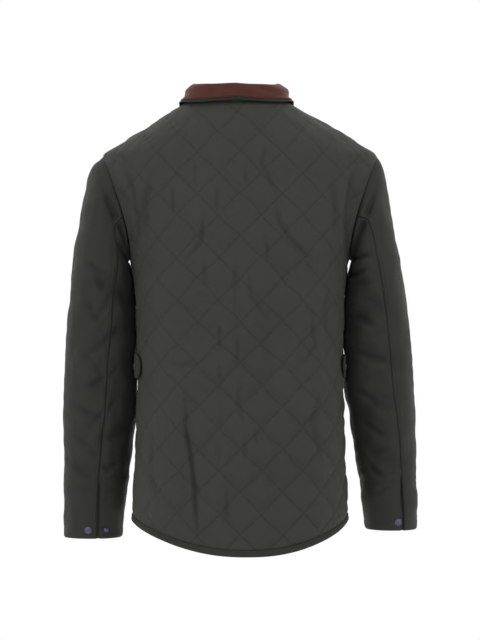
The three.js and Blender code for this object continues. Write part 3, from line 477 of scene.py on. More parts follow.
def cloth_shell(name, outer, inner, maps, painted_shade, materials):
    rows, columns = outer.shape[:2]
    inner_rows, inner_columns = inner.shape[:2]
    first_inner = rows * columns
    number = np.arange(rows * columns).reshape(rows, columns)
    inside = first_inner + np.arange(inner_rows * inner_columns).reshape(inner_rows, inner_columns)
    out_faces = np.stack([number[:-1, :-1], number[:-1, 1:], number[1:, 1:], number[1:, :-1]], axis=-1)
    in_faces = np.stack([inside[:-1, :-1], inside[1:, :-1], inside[1:, 1:], inside[:-1, 1:]], axis=-1)
    faces = out_faces.reshape(-1, 4).tolist()
    outer_count = len(faces)
    faces += in_faces.reshape(-1, 4).tolist()
    rims = (
        (number[0, ::-1], inside[0, ::-1]),
        (number[:, 0], inside[:, 0]),
        (number[-1, :], inside[-1, :]),
        (number[::-1, -1], inside[::-1, -1]),
    )
    for outside_line, inside_line in rims:
        step = (len(outside_line) - 1) // (len(inside_line) - 1)
        for k in range(len(inside_line) - 1):
            run = outside_line[k * step:(k + 1) * step + 1].tolist()
            faces.append(run + [int(inside_line[k + 1]), int(inside_line[k])])
    points = shifted(np.concatenate([outer.reshape(-1, 3), inner.reshape(-1, 3)]))
    a = outer[1:, :-1] - outer[:-1, :-1]
    b = outer[:-1, 1:] - outer[:-1, :-1]
    step_r = (rows - 1) // (inner_rows - 1)
    step_c = (columns - 1) // (inner_columns - 1)
    away = outer[::step_r, ::step_c] - inner
    turn = np.sum(np.cross(b, a)[::step_r, ::step_c] * away[:-1, :-1])
    if turn < 0:
        faces = [face[::-1] for face in faces]
    mesh = bpy.data.meshes.new(name)
    mesh.from_pydata(points.tolist(), [], faces)
    flat_maps = np.concatenate([maps.reshape(-1, 2), maps[::step_r, ::step_c].reshape(-1, 2)])
    layer = mesh.uv_layers.new(name="cloth")
    corner_points = np.zeros(len(mesh.loops), dtype=np.int32)
    mesh.loops.foreach_get("vertex_index", corner_points)
    layer.data.foreach_set("uv", flat_maps[corner_points].astype(np.float32).ravel())
    # Painted shade: a share per point by which the material darkens the cloth in creases, troughs, sewn
    # grooves and along rolled edges; the inner sheet gets none
    painted_shade_values = np.concatenate([painted_shade.ravel(), np.zeros(inner_rows * inner_columns)])
    store = mesh.attributes.new("painted_shade", "FLOAT", "POINT")
    store.data.foreach_set("value", painted_shade_values.astype(np.float32))
    mesh.polygons.foreach_set("use_smooth", np.ones(len(mesh.polygons), dtype=bool))
    for material in materials:
        mesh.materials.append(material)
    kinds = np.ones(len(mesh.polygons), dtype=np.int32) * (len(materials) - 1)
    kinds[:outer_count] = 0
    mesh.polygons.foreach_set("material_index", kinds)
    mesh.update()
    piece = bpy.data.objects.new(name, mesh)
    bpy.context.scene.collection.objects.link(piece)
    return piece


# Lowest value of each neighbourhood, so that the inner sheet stays below every crease
def lowest_near(values, reach):
    found = values.copy()
    for axis in (0, 1):
        source = found
        for shift in range(-reach, reach + 1):
            index = np.clip(np.arange(values.shape[axis]) + shift, 0, values.shape[axis] - 1)
            found = np.minimum(found, np.take(source, index, axis=axis))
    return found


def metres_along(grid, axis):
    steps = np.linalg.norm(np.diff(grid, axis=axis), axis=-1)
    start = np.zeros_like(np.take(steps, [0], axis=axis))
    return np.concatenate([start, np.cumsum(steps, axis=axis)], axis=axis)


# Distance of every point of a grid from the grid's four edges
def margin_of(grid):
    along_rows = metres_along(grid, 1)
    up_columns = metres_along(grid, 0)
    beside = np.minimum(along_rows, along_rows[:, -1:] - along_rows)
    return np.minimum(beside, np.minimum(up_columns, up_columns[-1:, :] - up_columns))


# Heights of a panel's rows: even ones, with those beside the armhole closer at its two ends
def panel_heights(spacing_steps, head_rows):
    below = np.linspace(HEM_SIDE_Z + BINDING_HEIGHT, UNDERARM_Z, spacing_steps)
    turns = np.linspace(math.pi, 0, 90)[1:]
    middle = (SHOULDER_TIP_Z + UNDERARM_Z) / 2
    beside = middle + (SHOULDER_TIP_Z - UNDERARM_Z) / 2 * np.cos(turns)
    return np.concatenate([below, beside, head_rows])


def finish_panel(name, s, z, facing, side, shape):
    base = torso_points(s, z, facing, side)
    away = unit(outward(base))
    margin = margin_of(base)
    flat = smoothstep(0, FLAT_EDGE, margin)
    sewn_s = s + 0.0016 * soft_noise(s, z, 0.075, shape["seed"] + 2)
    sewn_z = z + 0.0016 * soft_noise(s, z, 0.075, shape["seed"] + 3)
    puff, puckers = quilting(sewn_s, sewn_z)
    quilted = shape["quilted"](s)
    lively = shape["strength"](base[..., 0], z)
    waves = 0.0011 * soft_noise(s, z, 0.10, shape["seed"])
    waves = waves + 0.0004 * soft_noise(s, z, 0.032, shape["seed"] + 1)
    ripples = soft_noise(s * 5, z, 0.085, shape["seed"] + 4, waves=16)
    waves = waves + 0.00042 * ripples * (0.55 + 0.45 * soft_noise(s, z, 0.14, shape["seed"] + 5))
    creased = crease_depth(base[..., 0], z, shape["creases"])
    folds = crease_depth(side * s, z, shape["folds"])
    raised = (puff * lively * quilted + puckers * quilted + waves - creased) * flat
    at_head = smoothstep(HEAD_FOOT_Z, SHOULDER_TIP_Z, z) * smoothstep(0.10, 0.16, np.abs(base[..., 0]))
    rolled = EDGE_DROP * (1 - smoothstep(0, EDGE_ROLL, margin)) ** 2 * (1 - 0.85 * at_head)
    offset = raised - folds * flat - rolled
    pushed = shape["push"](s)
    outer = base + away * (offset - pushed)[..., None]
    under = np.minimum(lowest_near(offset, EVERY) - 0.0008, -WALL)[::EVERY, ::EVERY]
    inner = base[::EVERY, ::EVERY] + away[::EVERY, ::EVERY] * (under - pushed[::EVERY, ::EVERY])[..., None]
    # Painted shade in the creases and along the rolled edges, for the cloth's material to darken
    painted_shade = np.clip((creased * flat + rolled) / 0.003, -1, 1)
    maps = np.stack([sewn_s, sewn_z], axis=-1)
    return cloth_shell(name, outer, inner, maps, painted_shade, shape["materials"])


# Node trees of the materials
class Shader:
    def __init__(self, name):
        self.material = bpy.data.materials.new(name)
        self.material.use_nodes = True
        self.tree = self.material.node_tree
        self.surface = next(node for node in self.tree.nodes if node.type == "BSDF_PRINCIPLED")

    def node(self, kind, inputs=(), **settings):
        made = self.tree.nodes.new(kind)
        for key, value in settings.items():
            setattr(made, key, value)
        for name, value in dict(inputs).items():
            if isinstance(value, bpy.types.NodeSocket):
                self.tree.links.new(value, made.inputs[name])
            else:
                made.inputs[name].default_value = value
        return made

    def math(self, operation, first, second=0.0, third=0.0):
        made = self.node("ShaderNodeMath", {0: first, 1: second, 2: third}, operation=operation)
        return made.outputs[0]

    def mix(self, share, first, second):
        made = self.node("ShaderNodeMix", data_type="RGBA")
        for socket, value in ((made.inputs[0], share), (made.inputs[6], first), (made.inputs[7], second)):
            if isinstance(value, bpy.types.NodeSocket):
                self.tree.links.new(value, socket)
            else:
                socket.default_value = value
        return made.outputs[2]

    def noise(self, place, scale, detail=3.0):
        made = self.node("ShaderNodeTexNoise", {"Vector": place, "Scale": scale, "Detail": detail})
        return made.outputs["Fac"]

    def set(self, **values):
        for name, value in values.items():
            socket = self.surface.inputs[name.replace("_", " ")]
            if isinstance(value, bpy.types.NodeSocket):
                self.tree.links.new(value, socket)
            else:
                socket.default_value = value

    def bumped(self, height, distance, normal=None):
        inputs = {"Height": height, "Distance": distance, "Strength": 1.0}
        if normal is not None:
            inputs["Normal"] = normal
        return self.node("ShaderNodeBump", inputs).outputs["Normal"]


def colour(red, green, blue):
    return (red, green, blue, 1.0)


# How near a line of a repeating set is: 1 on the line, 0 beyond its width
def near_line(shader, across, width):
    beside = shader.math("ABSOLUTE", shader.math("SUBTRACT", shader.math("FRACT", across), 0.5))
    from_line = shader.math("SUBTRACT", 0.5, beside)
    return shader.math("LESS_THAN", from_line, width)


# Stitches, how the stitches darken the cloth, and how much painted shade darkens it in creases and along
# rolled edges
THREAD_HALF_WIDTH = 0.00045
STITCH_LENGTH = 0.0032
STITCH_SHARE = 0.32
STITCH_SHADE = -0.30
CREASE_SHADE = -0.34
CRINKLE = 0.0010


# Stitches and the gaps between them along a row
def dashes(shader, run, length):
    place = shader.math("FRACT", shader.math("MULTIPLY", run, 1 / length))
    return shader.math("GREATER_THAN", place, STITCH_SHARE)


# Woven cloth with a soft sheen: colour that varies a little, with painted shade in creases and along rolled
# edges, a fine weave, and stitches along the quilting lines or in straight rows beside a seam where asked
def woven_cloth(name, tint, roughness, sheen, quilted=False, seam_rows=(), weave=0.0007):
    shader = Shader(name)
    cloth_map = shader.node("ShaderNodeUVMap", uv_map="cloth").outputs[0]
    place = shader.node("ShaderNodeTexCoord").outputs["Object"]
    split = shader.node("ShaderNodeSeparateXYZ", {0: cloth_map})
    across, up = split.outputs[0], split.outputs[1]
    painted_shade = shader.node("ShaderNodeAttribute", attribute_name="painted_shade").outputs["Fac"]

    cloudy = shader.noise(place, 9.0, 4.0)
    fine = shader.noise(place, 160.0, 3.0)
    shade = shader.math("MULTIPLY_ADD", cloudy, 0.22, 0.79)
    shade = shader.math("MULTIPLY_ADD", fine, 0.20, shade)
    # Painted shade: the colour is darkened by CREASE_SHADE where points are marked as sunk in creases,
    # troughs and at rolled edges
    painted_shade_share = shader.math("MAXIMUM", painted_shade, 0.0)
    shade = shader.math("MULTIPLY", shade, shader.math("MULTIPLY_ADD", painted_shade_share, CREASE_SHADE, 1.0))

    threads = shader.node("ShaderNodeCombineXYZ", {0: across, 1: up})
    warp = shader.math("SINE", shader.math("MULTIPLY", across, 2 * math.pi / weave))
    weft = shader.math("SINE", shader.math("MULTIPLY", up, 2 * math.pi / weave))
    cloth = shader.math("MULTIPLY", warp, weft)
    slub = shader.node("ShaderNodeMapping", {"Vector": threads.outputs[0], "Scale": (90.0, 900.0, 1.0)})
    slubs = shader.noise(slub.outputs[0], 1.0, 2.0)
    cloth = shader.math("MULTIPLY_ADD", slubs, 0.8, cloth)
    shade = shader.math("MULTIPLY", shade, shader.math("MULTIPLY_ADD", slubs, 0.16, 0.92))

    normal = shader.bumped(shader.noise(place, 55.0, 4.0), CRINKLE)
    normal = shader.bumped(cloth, weave * 0.12, normal)
    sewn = None
    if quilted:
        diagonal = QUILT_PITCH * math.sqrt(2)
        rising = shader.math("ADD", shader.math("SUBTRACT", across, up), QUILT_CROSSING_Z)
        falling = shader.math("SUBTRACT", shader.math("ADD", across, up), QUILT_CROSSING_Z)
        for line, run in ((rising, falling), (falling, rising)):
            width = 2 * THREAD_HALF_WIDTH / QUILT_PITCH
            thread = near_line(shader, shader.math("MULTIPLY", line, 1 / diagonal), width)
            stitch = shader.math("MULTIPLY", thread, dashes(shader, run, math.sqrt(2) * STITCH_LENGTH))
            sewn = stitch if sewn is None else shader.math("MAXIMUM", sewn, stitch)
    for distance in seam_rows:
        from_row = shader.math("ABSOLUTE", shader.math("SUBTRACT", across, distance))
        thread = shader.math("LESS_THAN", from_row, THREAD_HALF_WIDTH)
        stitch = shader.math("MULTIPLY", thread, dashes(shader, up, STITCH_LENGTH))
        sewn = stitch if sewn is None else shader.math("MAXIMUM", sewn, stitch)
    if sewn is not None:
        normal = shader.bumped(sewn, 0.0005, normal)
        shade = shader.math("MULTIPLY", shade, shader.math("MULTIPLY_ADD", sewn, STITCH_SHADE, 1.0))
    scaled = shader.node("ShaderNodeVectorMath", {0: tint[:3]}, operation="SCALE")
    shader.tree.links.new(shade, scaled.inputs["Scale"])
    rough = shader.math("MULTIPLY_ADD", fine, 0.14, roughness - 0.07)
    shader.set(Base_Color=scaled.outputs[0], Roughness=rough, Normal=normal)
    shader.set(Sheen_Weight=sheen, Sheen_Roughness=0.45, Sheen_Tint=colour(0.75, 0.78, 0.72))
    shader.set(Specular_IOR_Level=0.22)
    return shader.material


# Short napped cloth of the collar
def napped_cloth(name, tint, deep):
    shader = Shader(name)
    place = shader.node("ShaderNodeTexCoord").outputs["Object"]
    painted_shade = shader.node("ShaderNodeAttribute", attribute_name="painted_shade").outputs["Fac"]
    cloudy = shader.noise(place, 34.0, 4.0)
    brushed = shader.node("ShaderNodeMapping", {"Vector": place, "Scale": (520.0, 520.0, 160.0)})
    nap = shader.noise(brushed.outputs[0], 1.0, 3.0)
    share = shader.math("MULTIPLY_ADD", cloudy, 1.3, -0.15)
    share = shader.math("ADD", share, shader.math("MULTIPLY", nap, 0.25))
    base = shader.mix(shader.math("MINIMUM", share, 1.0), deep, tint)
    # Painted shade: the collar's colour is darkened along its rolled edges and its sewn groove
    lines = shader.math("MULTIPLY_ADD", shader.math("MAXIMUM", painted_shade, 0.0), -0.5, 1.0)
    scaled = shader.node("ShaderNodeVectorMath", {0: base}, operation="SCALE")
    shader.tree.links.new(lines, scaled.inputs["Scale"])
    normal = shader.bumped(nap, 0.00035)
    normal = shader.bumped(cloudy, 0.0010, normal)
    shader.set(Base_Color=scaled.outputs[0], Roughness=0.88, Normal=normal, Specular_IOR_Level=0.15)
    shader.set(Sheen_Weight=0.35, Sheen_Roughness=0.35, Sheen_Tint=colour(1.0, 0.72, 0.62))
    return shader.material


# Dark nickel with fine scratches and duller patches
def worn_metal(name, tint):
    shader = Shader(name)
    place = shader.node("ShaderNodeTexCoord").outputs["Object"]
    patches = shader.noise(place, 420.0, 4.0)
    turned = shader.node("ShaderNodeMapping", {"Vector": place, "Scale": (3000.0, 3000.0, 500.0)})
    scratches = shader.noise(turned.outputs[0], 1.0, 2.0)
    base = shader.mix(patches, tint, colour(*[part * 0.6 for part in tint[:3]]))
    rough = shader.math("MULTIPLY_ADD", patches, 0.25, 0.16)
    normal = shader.bumped(scratches, 0.00003)
    shader.set(Base_Color=base, Metallic=1.0, Roughness=rough, Normal=normal)
    return shader.material


# Twisted sewing thread
def thread_finish(name, tint):
    shader = Shader(name)
    place = shader.node("ShaderNodeTexCoord").outputs["Object"]
    twist = shader.node("ShaderNodeTexWave", {"Vector": place, "Scale": 900.0, "Distortion": 1.0})
    base = shader.mix(twist.outputs["Fac"], tint, colour(*[part * 0.55 for part in tint[:3]]))
    normal = shader.bumped(twist.outputs["Fac"], 0.0002)
    shader.set(Base_Color=base, Roughness=0.6, Normal=normal)
    return shader.material


def pale_floor(name):
    shader = Shader(name)
    place = shader.node("ShaderNodeTexCoord").outputs["Object"]
    cloudy = shader.noise(place, 1.2, 2.0)
    base = shader.mix(cloudy, colour(0.88, 0.88, 0.88), colour(0.92, 0.92, 0.92))
    shader.set(Base_Color=base, Roughness=0.9)
    return shader.material


BODY_TINT = colour(0.0255, 0.0255, 0.0205)
SLEEVE_TINT = colour(0.0170, 0.0180, 0.0135)
TRIM_TINT = colour(0.0185, 0.0190, 0.0150)
LINING_TINT = colour(0.0120, 0.0125, 0.0115)
COLLAR_TINT = colour(0.0660, 0.0205, 0.0150)
COLLAR_DEEP = colour(0.0400, 0.0120, 0.0085)
body_cloth = woven_cloth("body_cloth", BODY_TINT, 0.64, 0.05, quilted=True)
sleeve_cloth = woven_cloth("sleeve_cloth", SLEEVE_TINT, 0.62, 0.05, seam_rows=WELT_ROWS)
trim_cloth = woven_cloth("trim_cloth", TRIM_TINT, 0.70, 0.04, weave=0.0011)
lining_cloth = woven_cloth("lining_cloth", LINING_TINT, 0.60, 0.04, quilted=True)
sleeve_lining = woven_cloth("sleeve_lining", LINING_TINT, 0.60, 0.04)
tab_cloth = woven_cloth("tab_cloth", SLEEVE_TINT, 0.62, 0.05)
collar_cloth = napped_cloth("collar_cloth", COLLAR_TINT, COLLAR_DEEP)
snap_metal = worn_metal("snap_metal", colour(0.10, 0.105, 0.15))
dark_thread = thread_finish("dark_thread", colour(0.020, 0.020, 0.017))


# Camera at the photograph's viewing angle: level, straight at the back, from 3.5 m
CAMERA_DISTANCE = 3.5
PICTURE_HALF_HEIGHT = 0.5504
PICTURE_MIDDLE_Z = -0.361
FLOOR_Z = -1.6


def add_camera():
    data = bpy.data.cameras.new("camera")
    camera = bpy.data.objects.new("camera", data)
    bpy.context.scene.collection.objects.link(camera)
    camera.location = (0, CAMERA_DISTANCE, PICTURE_MIDDLE_Z)
    camera.rotation_euler = (math.pi / 2, 0, math.pi)
    data.sensor_fit = "VERTICAL"
    data.angle = 2 * math.atan(PICTURE_HALF_HEIGHT / CAMERA_DISTANCE)
    data.clip_end = 60
    bpy.context.scene.camera = camera


def add_light(name, place, target, size, watts):
    data = bpy.data.lights.new(name, "AREA")
    data.shape = "RECTANGLE"
    data.size, data.size_y = size
    data.energy = watts
    light = bpy.data.objects.new(name, data)
    bpy.context.scene.collection.objects.link(light)
    light.location = place
    way = np.array(target, dtype=float) - np.array(place, dtype=float)
    light.rotation_euler = Vector(way.tolist()).to_track_quat("-Z", "Y").to_euler()


def add_studio():
    mesh = bpy.data.meshes.new("floor")
    half = 4.2
    corners = [(-half, -half, FLOOR_Z), (half, -half, FLOOR_Z), (half, half, FLOOR_Z), (-half, half, FLOOR_Z)]
    mesh.from_pydata(corners, [], [(0, 1, 2, 3)])
    mesh.materials.append(pale_floor("floor_finish"))
    floor = bpy.data.objects.new("floor", mesh)
    bpy.context.scene.collection.objects.link(floor)
    world = bpy.data.worlds.new("studio")
    bpy.context.scene.world = world
    world.use_nodes = True
    light = world.node_tree.nodes["Background"]
    light.inputs["Color"].default_value = colour(1.0, 1.0, 1.0)
    light.inputs["Strength"].default_value = 1.0
    middle = (0, 0, -0.36)
    add_light("overhead", (0.0, 1.2, 2.0), middle, (2.2, 1.4), 13)
    add_light("beside_left", (2.2, 2.0, 0.3), middle, (1.0, 2.2), 18)
    add_light("beside_right", (-2.2, 2.0, 0.3), middle, (1.0, 2.2), 14)
    bpy.context.scene.view_settings.view_transform = "Standard"


add_camera()
add_studio()


def register(piece, nodes):
    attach(piece, "root")
    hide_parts(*nodes)


def no_push(s):
    return np.zeros(np.shape(s))


def evenly_strong(x, z):
    return np.full(np.shape(x), 0.85)


# The quilting shows best low on the right-hand side of the back
def back_strength(x, z):
    low_right = smoothstep(0.10, -0.10, x) * smoothstep(-0.34, -0.56, z)
    near_neck = smoothstep(-0.20, -0.06, z) * smoothstep(0.11, 0.0, np.abs(x + 0.03))
    low_middle = smoothstep(-0.34, -0.52, z) * smoothstep(0.16, 0.04, x)
    return 0.22 + 0.18 * low_middle + 0.56 * low_right + 0.14 * near_neck


# Broad folds of the back, in lengths across the cloth
BACK_FOLDS = (
    (0.0060, 0.015, ((0.205, -0.130), (0.222, -0.250))),
    (0.0060, 0.015, ((-0.205, -0.130), (-0.222, -0.250))),
    (0.0022, 0.011, ((0.100, -0.499), (0.072, -0.734))),
    (0.0018, 0.016, ((0.005, -0.380), (-0.018, -0.520))),
    (0.0025, 0.016, ((-0.118, -0.350), (-0.098, -0.470))),
)
LATTICE = QUILT_PITCH * math.sqrt(2) / 4


def add_back():
    head = np.linspace(SHOULDER_TIP_Z, NECK_SIDE_Z, 40)[1:]
    heights = panel_heights(169, head)
    edges = side_edge(heights, 1)
    u = np.linspace(-1, 1, 241)
    s = u[None, :] * edges[:, None]
    rows = heights[:, None] * np.ones_like(s)
    dip = tail_height(u * edges[0]) - HEM_SIDE_Z
    fade = 1 - smoothstep(0, 0.20, rows - heights[0])
    neck = back_neck_height(u * edges[-1]) - NECK_SIDE_Z
    z = rows + dip[None, :] * fade + neck[None, :] * smoothstep(-0.05, NECK_SIDE_Z, rows)
    shape = {
        "seed": 21, "creases": BACK_CREASES, "folds": BACK_FOLDS, "push": no_push,
        "quilted": lambda run: np.ones(run.shape), "strength": back_strength,
        "materials": [body_cloth, lining_cloth],
    }
    piece = finish_panel("back_panel", s, z, 1, 1, shape)
    register(piece, ["back"])


# How far the right front's edge is tucked in under the left front's
def tuck_in(s):
    return PLACKET_PUSH * (1 - smoothstep(2 * LATTICE, 4 * LATTICE, s))


def add_front(name, node, side, under):
    plain_rows = np.linspace(SHOULDER_TIP_Z, NECK_FRONT_Z, 9)[1:]
    turns = np.linspace(0, math.pi / 2, 37)[1:]
    neck_rows = NECK_SIDE_Z - (NECK_SIDE_Z - NECK_FRONT_Z) * np.cos(turns)
    heights = panel_heights(168, np.concatenate([plain_rows, neck_rows]))
    ends = side_edge(heights, -1)
    starts = np.where(heights > NECK_FRONT_Z + 1e-6, front_neck_edge(heights), -OVERLAP)
    starts = np.minimum(starts, ends - 0.0004)
    u = np.linspace(0, 1, 121)
    s = starts[:, None] + u[None, :] * (ends - starts)[:, None]
    z = heights[:, None] * np.ones_like(s)
    shape = {
        "seed": 31 + side, "creases": FRONT_CREASES, "folds": (),
        "push": tuck_in if under else no_push,
        "quilted": lambda run: smoothstep(LATTICE, 3 * LATTICE, run), "strength": evenly_strong,
        "materials": [body_cloth, lining_cloth],
    }
    piece = finish_panel(name, s, z, -1, side, shape)
    register(piece, [node])


# A closed tube through rings of points, with flat ends
def closed_tube(name, rings, maps, material):
    stations, around = rings.shape[:2]
    number = np.arange(stations * around).reshape(stations, around)
    ahead = np.roll(number, -1, axis=1)
    faces = np.stack([number[:-1], ahead[:-1], ahead[1:], number[1:]], axis=-1).reshape(-1, 4).tolist()
    faces += [number[0, ::-1].tolist(), number[-1].tolist()]
    middle = rings.mean(axis=1, keepdims=True)
    a = ahead[:-1]
    flat = rings.reshape(-1, 3)
    normals = np.cross(flat[a] - rings[:-1], rings[1:] - rings[:-1])
    if np.sum(normals * (rings[:-1] - middle[:-1])) < 0:
        faces = [face[::-1] for face in faces]
    mesh = bpy.data.meshes.new(name)
    mesh.from_pydata(flat.tolist(), [], faces)
    layer = mesh.uv_layers.new(name="cloth")
    corner_points = np.zeros(len(mesh.loops), dtype=np.int32)
    mesh.loops.foreach_get("vertex_index", corner_points)
    layer.data.foreach_set("uv", maps.reshape(-1, 2)[corner_points].astype(np.float32).ravel())
    mesh.polygons.foreach_set("use_smooth", np.ones(len(mesh.polygons), dtype=bool))
    mesh.materials.append(material)
    mesh.update()
    piece = bpy.data.objects.new(name, mesh)
    bpy.context.scene.collection.objects.link(piece)
    return piece


# Outline of the folded hem binding: drop below the panel's edge, and how far it stands proud
BINDING_OUTLINE = (
    (-0.0014, -0.0004), (-0.0010, 0.0007), (0.0006, 0.0010), (0.0016, 0.0005), (0.0026, 0.0010),
    (0.0052, 0.0013), (0.0072, 0.0011), (0.0087, 0.0006), (0.0096, -0.0003), (0.0100, -0.0014),
)


def add_binding(name, node, s, z, facing, side, push):
    drops = [drop for drop, proud in BINDING_OUTLINE]
    prouds = [proud for drop, proud in BINDING_OUTLINE]
    outline = list(zip(drops, prouds)) + [(drop, -WALL - proud) for drop, proud in BINDING_OUTLINE[::-1][1:]]
    rings, maps = [], []
    puckers = 0.0003 * soft_noise(s, z, 0.012, 44) + 0.0004 * soft_noise(s, z, 0.05, 45)
    for drop, proud in outline:
        base = torso_points(s, z - drop, facing, side)
        away = unit(outward(base))
        lively = puckers * (1 if proud > 0 else 0.3)
        rings.append(base + away * (proud + lively - push)[:, None])
        maps.append(np.stack([s, z - drop], axis=-1))
    piece = closed_tube(name, np.stack(rings, axis=1), np.stack(maps, axis=1), trim_cloth)
    register(piece, [node])


def add_bindings():
    corner = HEM_SIDE_Z + BINDING_HEIGHT
    edge = float(side_edge(corner, 1)[0])
    s = edge * np.linspace(-1, 1, 321)
    add_binding("hem_back_binding", "hem_back", s, tail_height(s) + BINDING_HEIGHT, 1, 1, no_push(s))
    s = np.linspace(-OVERLAP, float(side_edge(corner, -1)[0]), 161)
    z = np.full(s.shape, corner)
    add_binding("hem_left_binding", "hem_front_left", s, z, -1, 1, no_push(s))
    deeper = (PLACKET_PUSH + 0.0012) / PLACKET_PUSH
    add_binding("hem_right_binding", "hem_front_right", s, z, -1, -1, tuck_in(s) * deeper)


add_back()
add_front("left_front_panel", "front_left", 1, False)
add_front("right_front_panel", "front_right", -1, True)
add_bindings()


# Sleeves. Creases of each as seen from behind, in (x, z); the front of a sleeve takes those of the
# other sleeve's back, mirrored.
SLEEVE_CREASES = {
    1: (
        (0.0034, 0.0050, ((0.234, -0.130), (0.214, -0.185), (0.186, -0.236))),
        (0.0030, 0.0050, ((0.222, -0.150), (0.200, -0.205), (0.178, -0.252))),
        (0.0026, 0.0055, ((0.262, -0.262), (0.240, -0.276), (0.222, -0.290))),
        (0.0030, 0.0060, ((0.252, -0.270), (0.236, -0.300), (0.228, -0.322))),
        (0.0028, 0.0065, ((0.212, -0.310), (0.232, -0.345), (0.258, -0.372))),
        (0.0026, 0.0055, ((0.262, -0.330), (0.250, -0.352), (0.234, -0.372))),
        (0.0030, 0.0065, ((0.204, -0.372), (0.228, -0.400), (0.262, -0.424))),
        (0.0028, 0.0060, ((0.270, -0.418), (0.252, -0.432), (0.230, -0.462))),
        (0.0026, 0.0060, ((0.206, -0.440), (0.230, -0.462), (0.264, -0.478))),
        (0.0030, 0.0060, ((0.284, -0.506), (0.262, -0.522), (0.234, -0.530))),
        (0.0026, 0.0060, ((0.212, -0.500), (0.232, -0.520), (0.262, -0.546))),
        (0.0026, 0.0055, ((0.280, -0.566), (0.258, -0.580), (0.240, -0.604))),
        (0.0028, 0.0055, ((0.242, -0.610), (0.228, -0.618), (0.206, -0.606))),
        (0.0022, 0.0055, ((0.290, -0.612), (0.268, -0.628), (0.250, -0.632))),
        (-0.0022, 0.0120, ((0.222, -0.320), (0.256, -0.392), (0.276, -0.430))),
        (-0.0020, 0.0120, ((0.232, -0.400), (0.260, -0.450), (0.282, -0.480))),
        (-0.0020, 0.0120, ((0.222, -0.540), (0.250, -0.572), (0.280, -0.600))),
    ),
    -1: (
        (0.0030, 0.0050, ((-0.234, -0.130), (-0.216, -0.180), (-0.190, -0.232))),
        (0.0022, 0.0050, ((-0.224, -0.150), (-0.204, -0.205), (-0.184, -0.250))),
        (0.0042, 0.0050, ((-0.186, -0.258), (-0.222, -0.250))),
        (0.0038, 0.0050, ((-0.180, -0.284), (-0.214, -0.276))),
        (0.0016, 0.0060, ((-0.194, -0.318), (-0.238, -0.338))),
        (0.0030, 0.0050, ((-0.186, -0.350), (-0.228, -0.372))),
        (0.0014, 0.0060, ((-0.222, -0.390), (-0.262, -0.376))),
        (0.0028, 0.0055, ((-0.190, -0.412), (-0.226, -0.428), (-0.258, -0.432))),
        (0.0018, 0.0055, ((-0.204, -0.464), (-0.248, -0.446))),
        (0.0030, 0.0055, ((-0.198, -0.480), (-0.236, -0.506))),
        (0.0014, 0.0050, ((-0.228, -0.524), (-0.268, -0.508))),
        (0.0028, 0.0055, ((-0.206, -0.534), (-0.246, -0.562))),
        (0.0018, 0.0055, ((-0.216, -0.594), (-0.258, -0.582))),
        (0.0028, 0.0050, ((-0.218, -0.612), (-0.246, -0.632))),
        (0.0014, 0.0050, ((-0.228, -0.662), (-0.260, -0.648))),
        (-0.0024, 0.0110, ((-0.206, -0.300), (-0.240, -0.312), (-0.262, -0.330))),
        (-0.0022, 0.0110, ((-0.208, -0.446), (-0.240, -0.444), (-0.270, -0.462))),
        (-0.0022, 0.0120, ((-0.216, -0.520), (-0.246, -0.526), (-0.272, -0.520))),
    ),
}

# Large creases across the sleeves, as in the solids
TROUGH_COLUMNS = ("side", "angle", "spread", "z", "slope", "depth", "width")
SLEEVE_TROUGHS = (
    (1, 125, 42, -0.318, 0.00035, 0.0050, 0.017),
    (1, 110, 38, -0.392, -0.00030, 0.0045, 0.016),
    (1, 80, 45, -0.470, 0.00030, 0.0040, 0.017),
    (1, 120, 35, -0.560, -0.00035, 0.0040, 0.016),
    (1, 60, 40, -0.610, 0.00030, 0.0035, 0.016),
    (-1, 128, 34, -0.296, -0.00035, 0.0060, 0.015),
    (-1, 115, 40, -0.352, 0.00035, 0.0050, 0.017),
    (-1, 85, 45, -0.432, -0.00025, 0.0040, 0.017),
    (-1, 115, 38, -0.512, 0.00035, 0.0045, 0.016),
    (-1, 95, 40, -0.600, -0.00030, 0.0040, 0.016),
)


# Points of a sleeve at whole sections (0 is the armhole's edge) and angles, seen on the left
def section_points(section, angle, side):
    table = np.array(SLEEVE_SECTIONS)
    word = "left" if side > 0 else "right"
    row = np.clip(section - 1, 0, len(table) - 1)

    def column(field):
        return table[row, SLEEVE_COLUMNS.index(field)]

    def dropped(z):
        stretch = 1 + RIGHT_CUFF_RISE / (CUFF_Z - CUFF_BEND_Z)
        return z if side > 0 else np.where(z > CUFF_BEND_Z, z, CUFF_BEND_Z + (z - CUFF_BEND_Z) * stretch)

    inner = np.stack([column("inner_" + word), column("middle"), dropped(column("inner_z"))], axis=-1)
    outer = np.stack([column("outer_" + word), column("middle"), dropped(column("outer_z"))], axis=-1)
    centre = (inner + outer) / 2
    turn = np.radians(angle)
    lift = np.sign(np.cos(turn)) * np.abs(np.cos(turn)) ** (2 / SLEEVE_POWER)
    deep = np.sign(np.sin(turn)) * np.abs(np.sin(turn)) ** (2 / SLEEVE_POWER)
    points = centre + (outer - centre) * lift[..., None]
    points[..., 1] += deep * np.where(deep > 0, column("back"), column("front"))

    folded = np.mod(angle, 360)
    facing = np.where(folded <= 180, 1, -1)
    folded = np.where(folded <= 180, folded, 360 - folded)
    middle = (SHOULDER_TIP_Z + UNDERARM_Z) / 2
    half = (SHOULDER_TIP_Z - UNDERARM_Z) / 2
    z = middle + half * np.cos(np.radians(folded))
    axis = np.array([math.cos(ARMHOLE_TILT), 0, -math.sin(ARMHOLE_TILT)])
    for way in (1, -1):
        chosen = (section == 0) & (facing == way)
        if chosen.any():
            edge = side_edge(z[chosen], way)
            points[chosen] = torso_points(edge, z[chosen], way, 1) + axis * SLEEVE_START
    return points


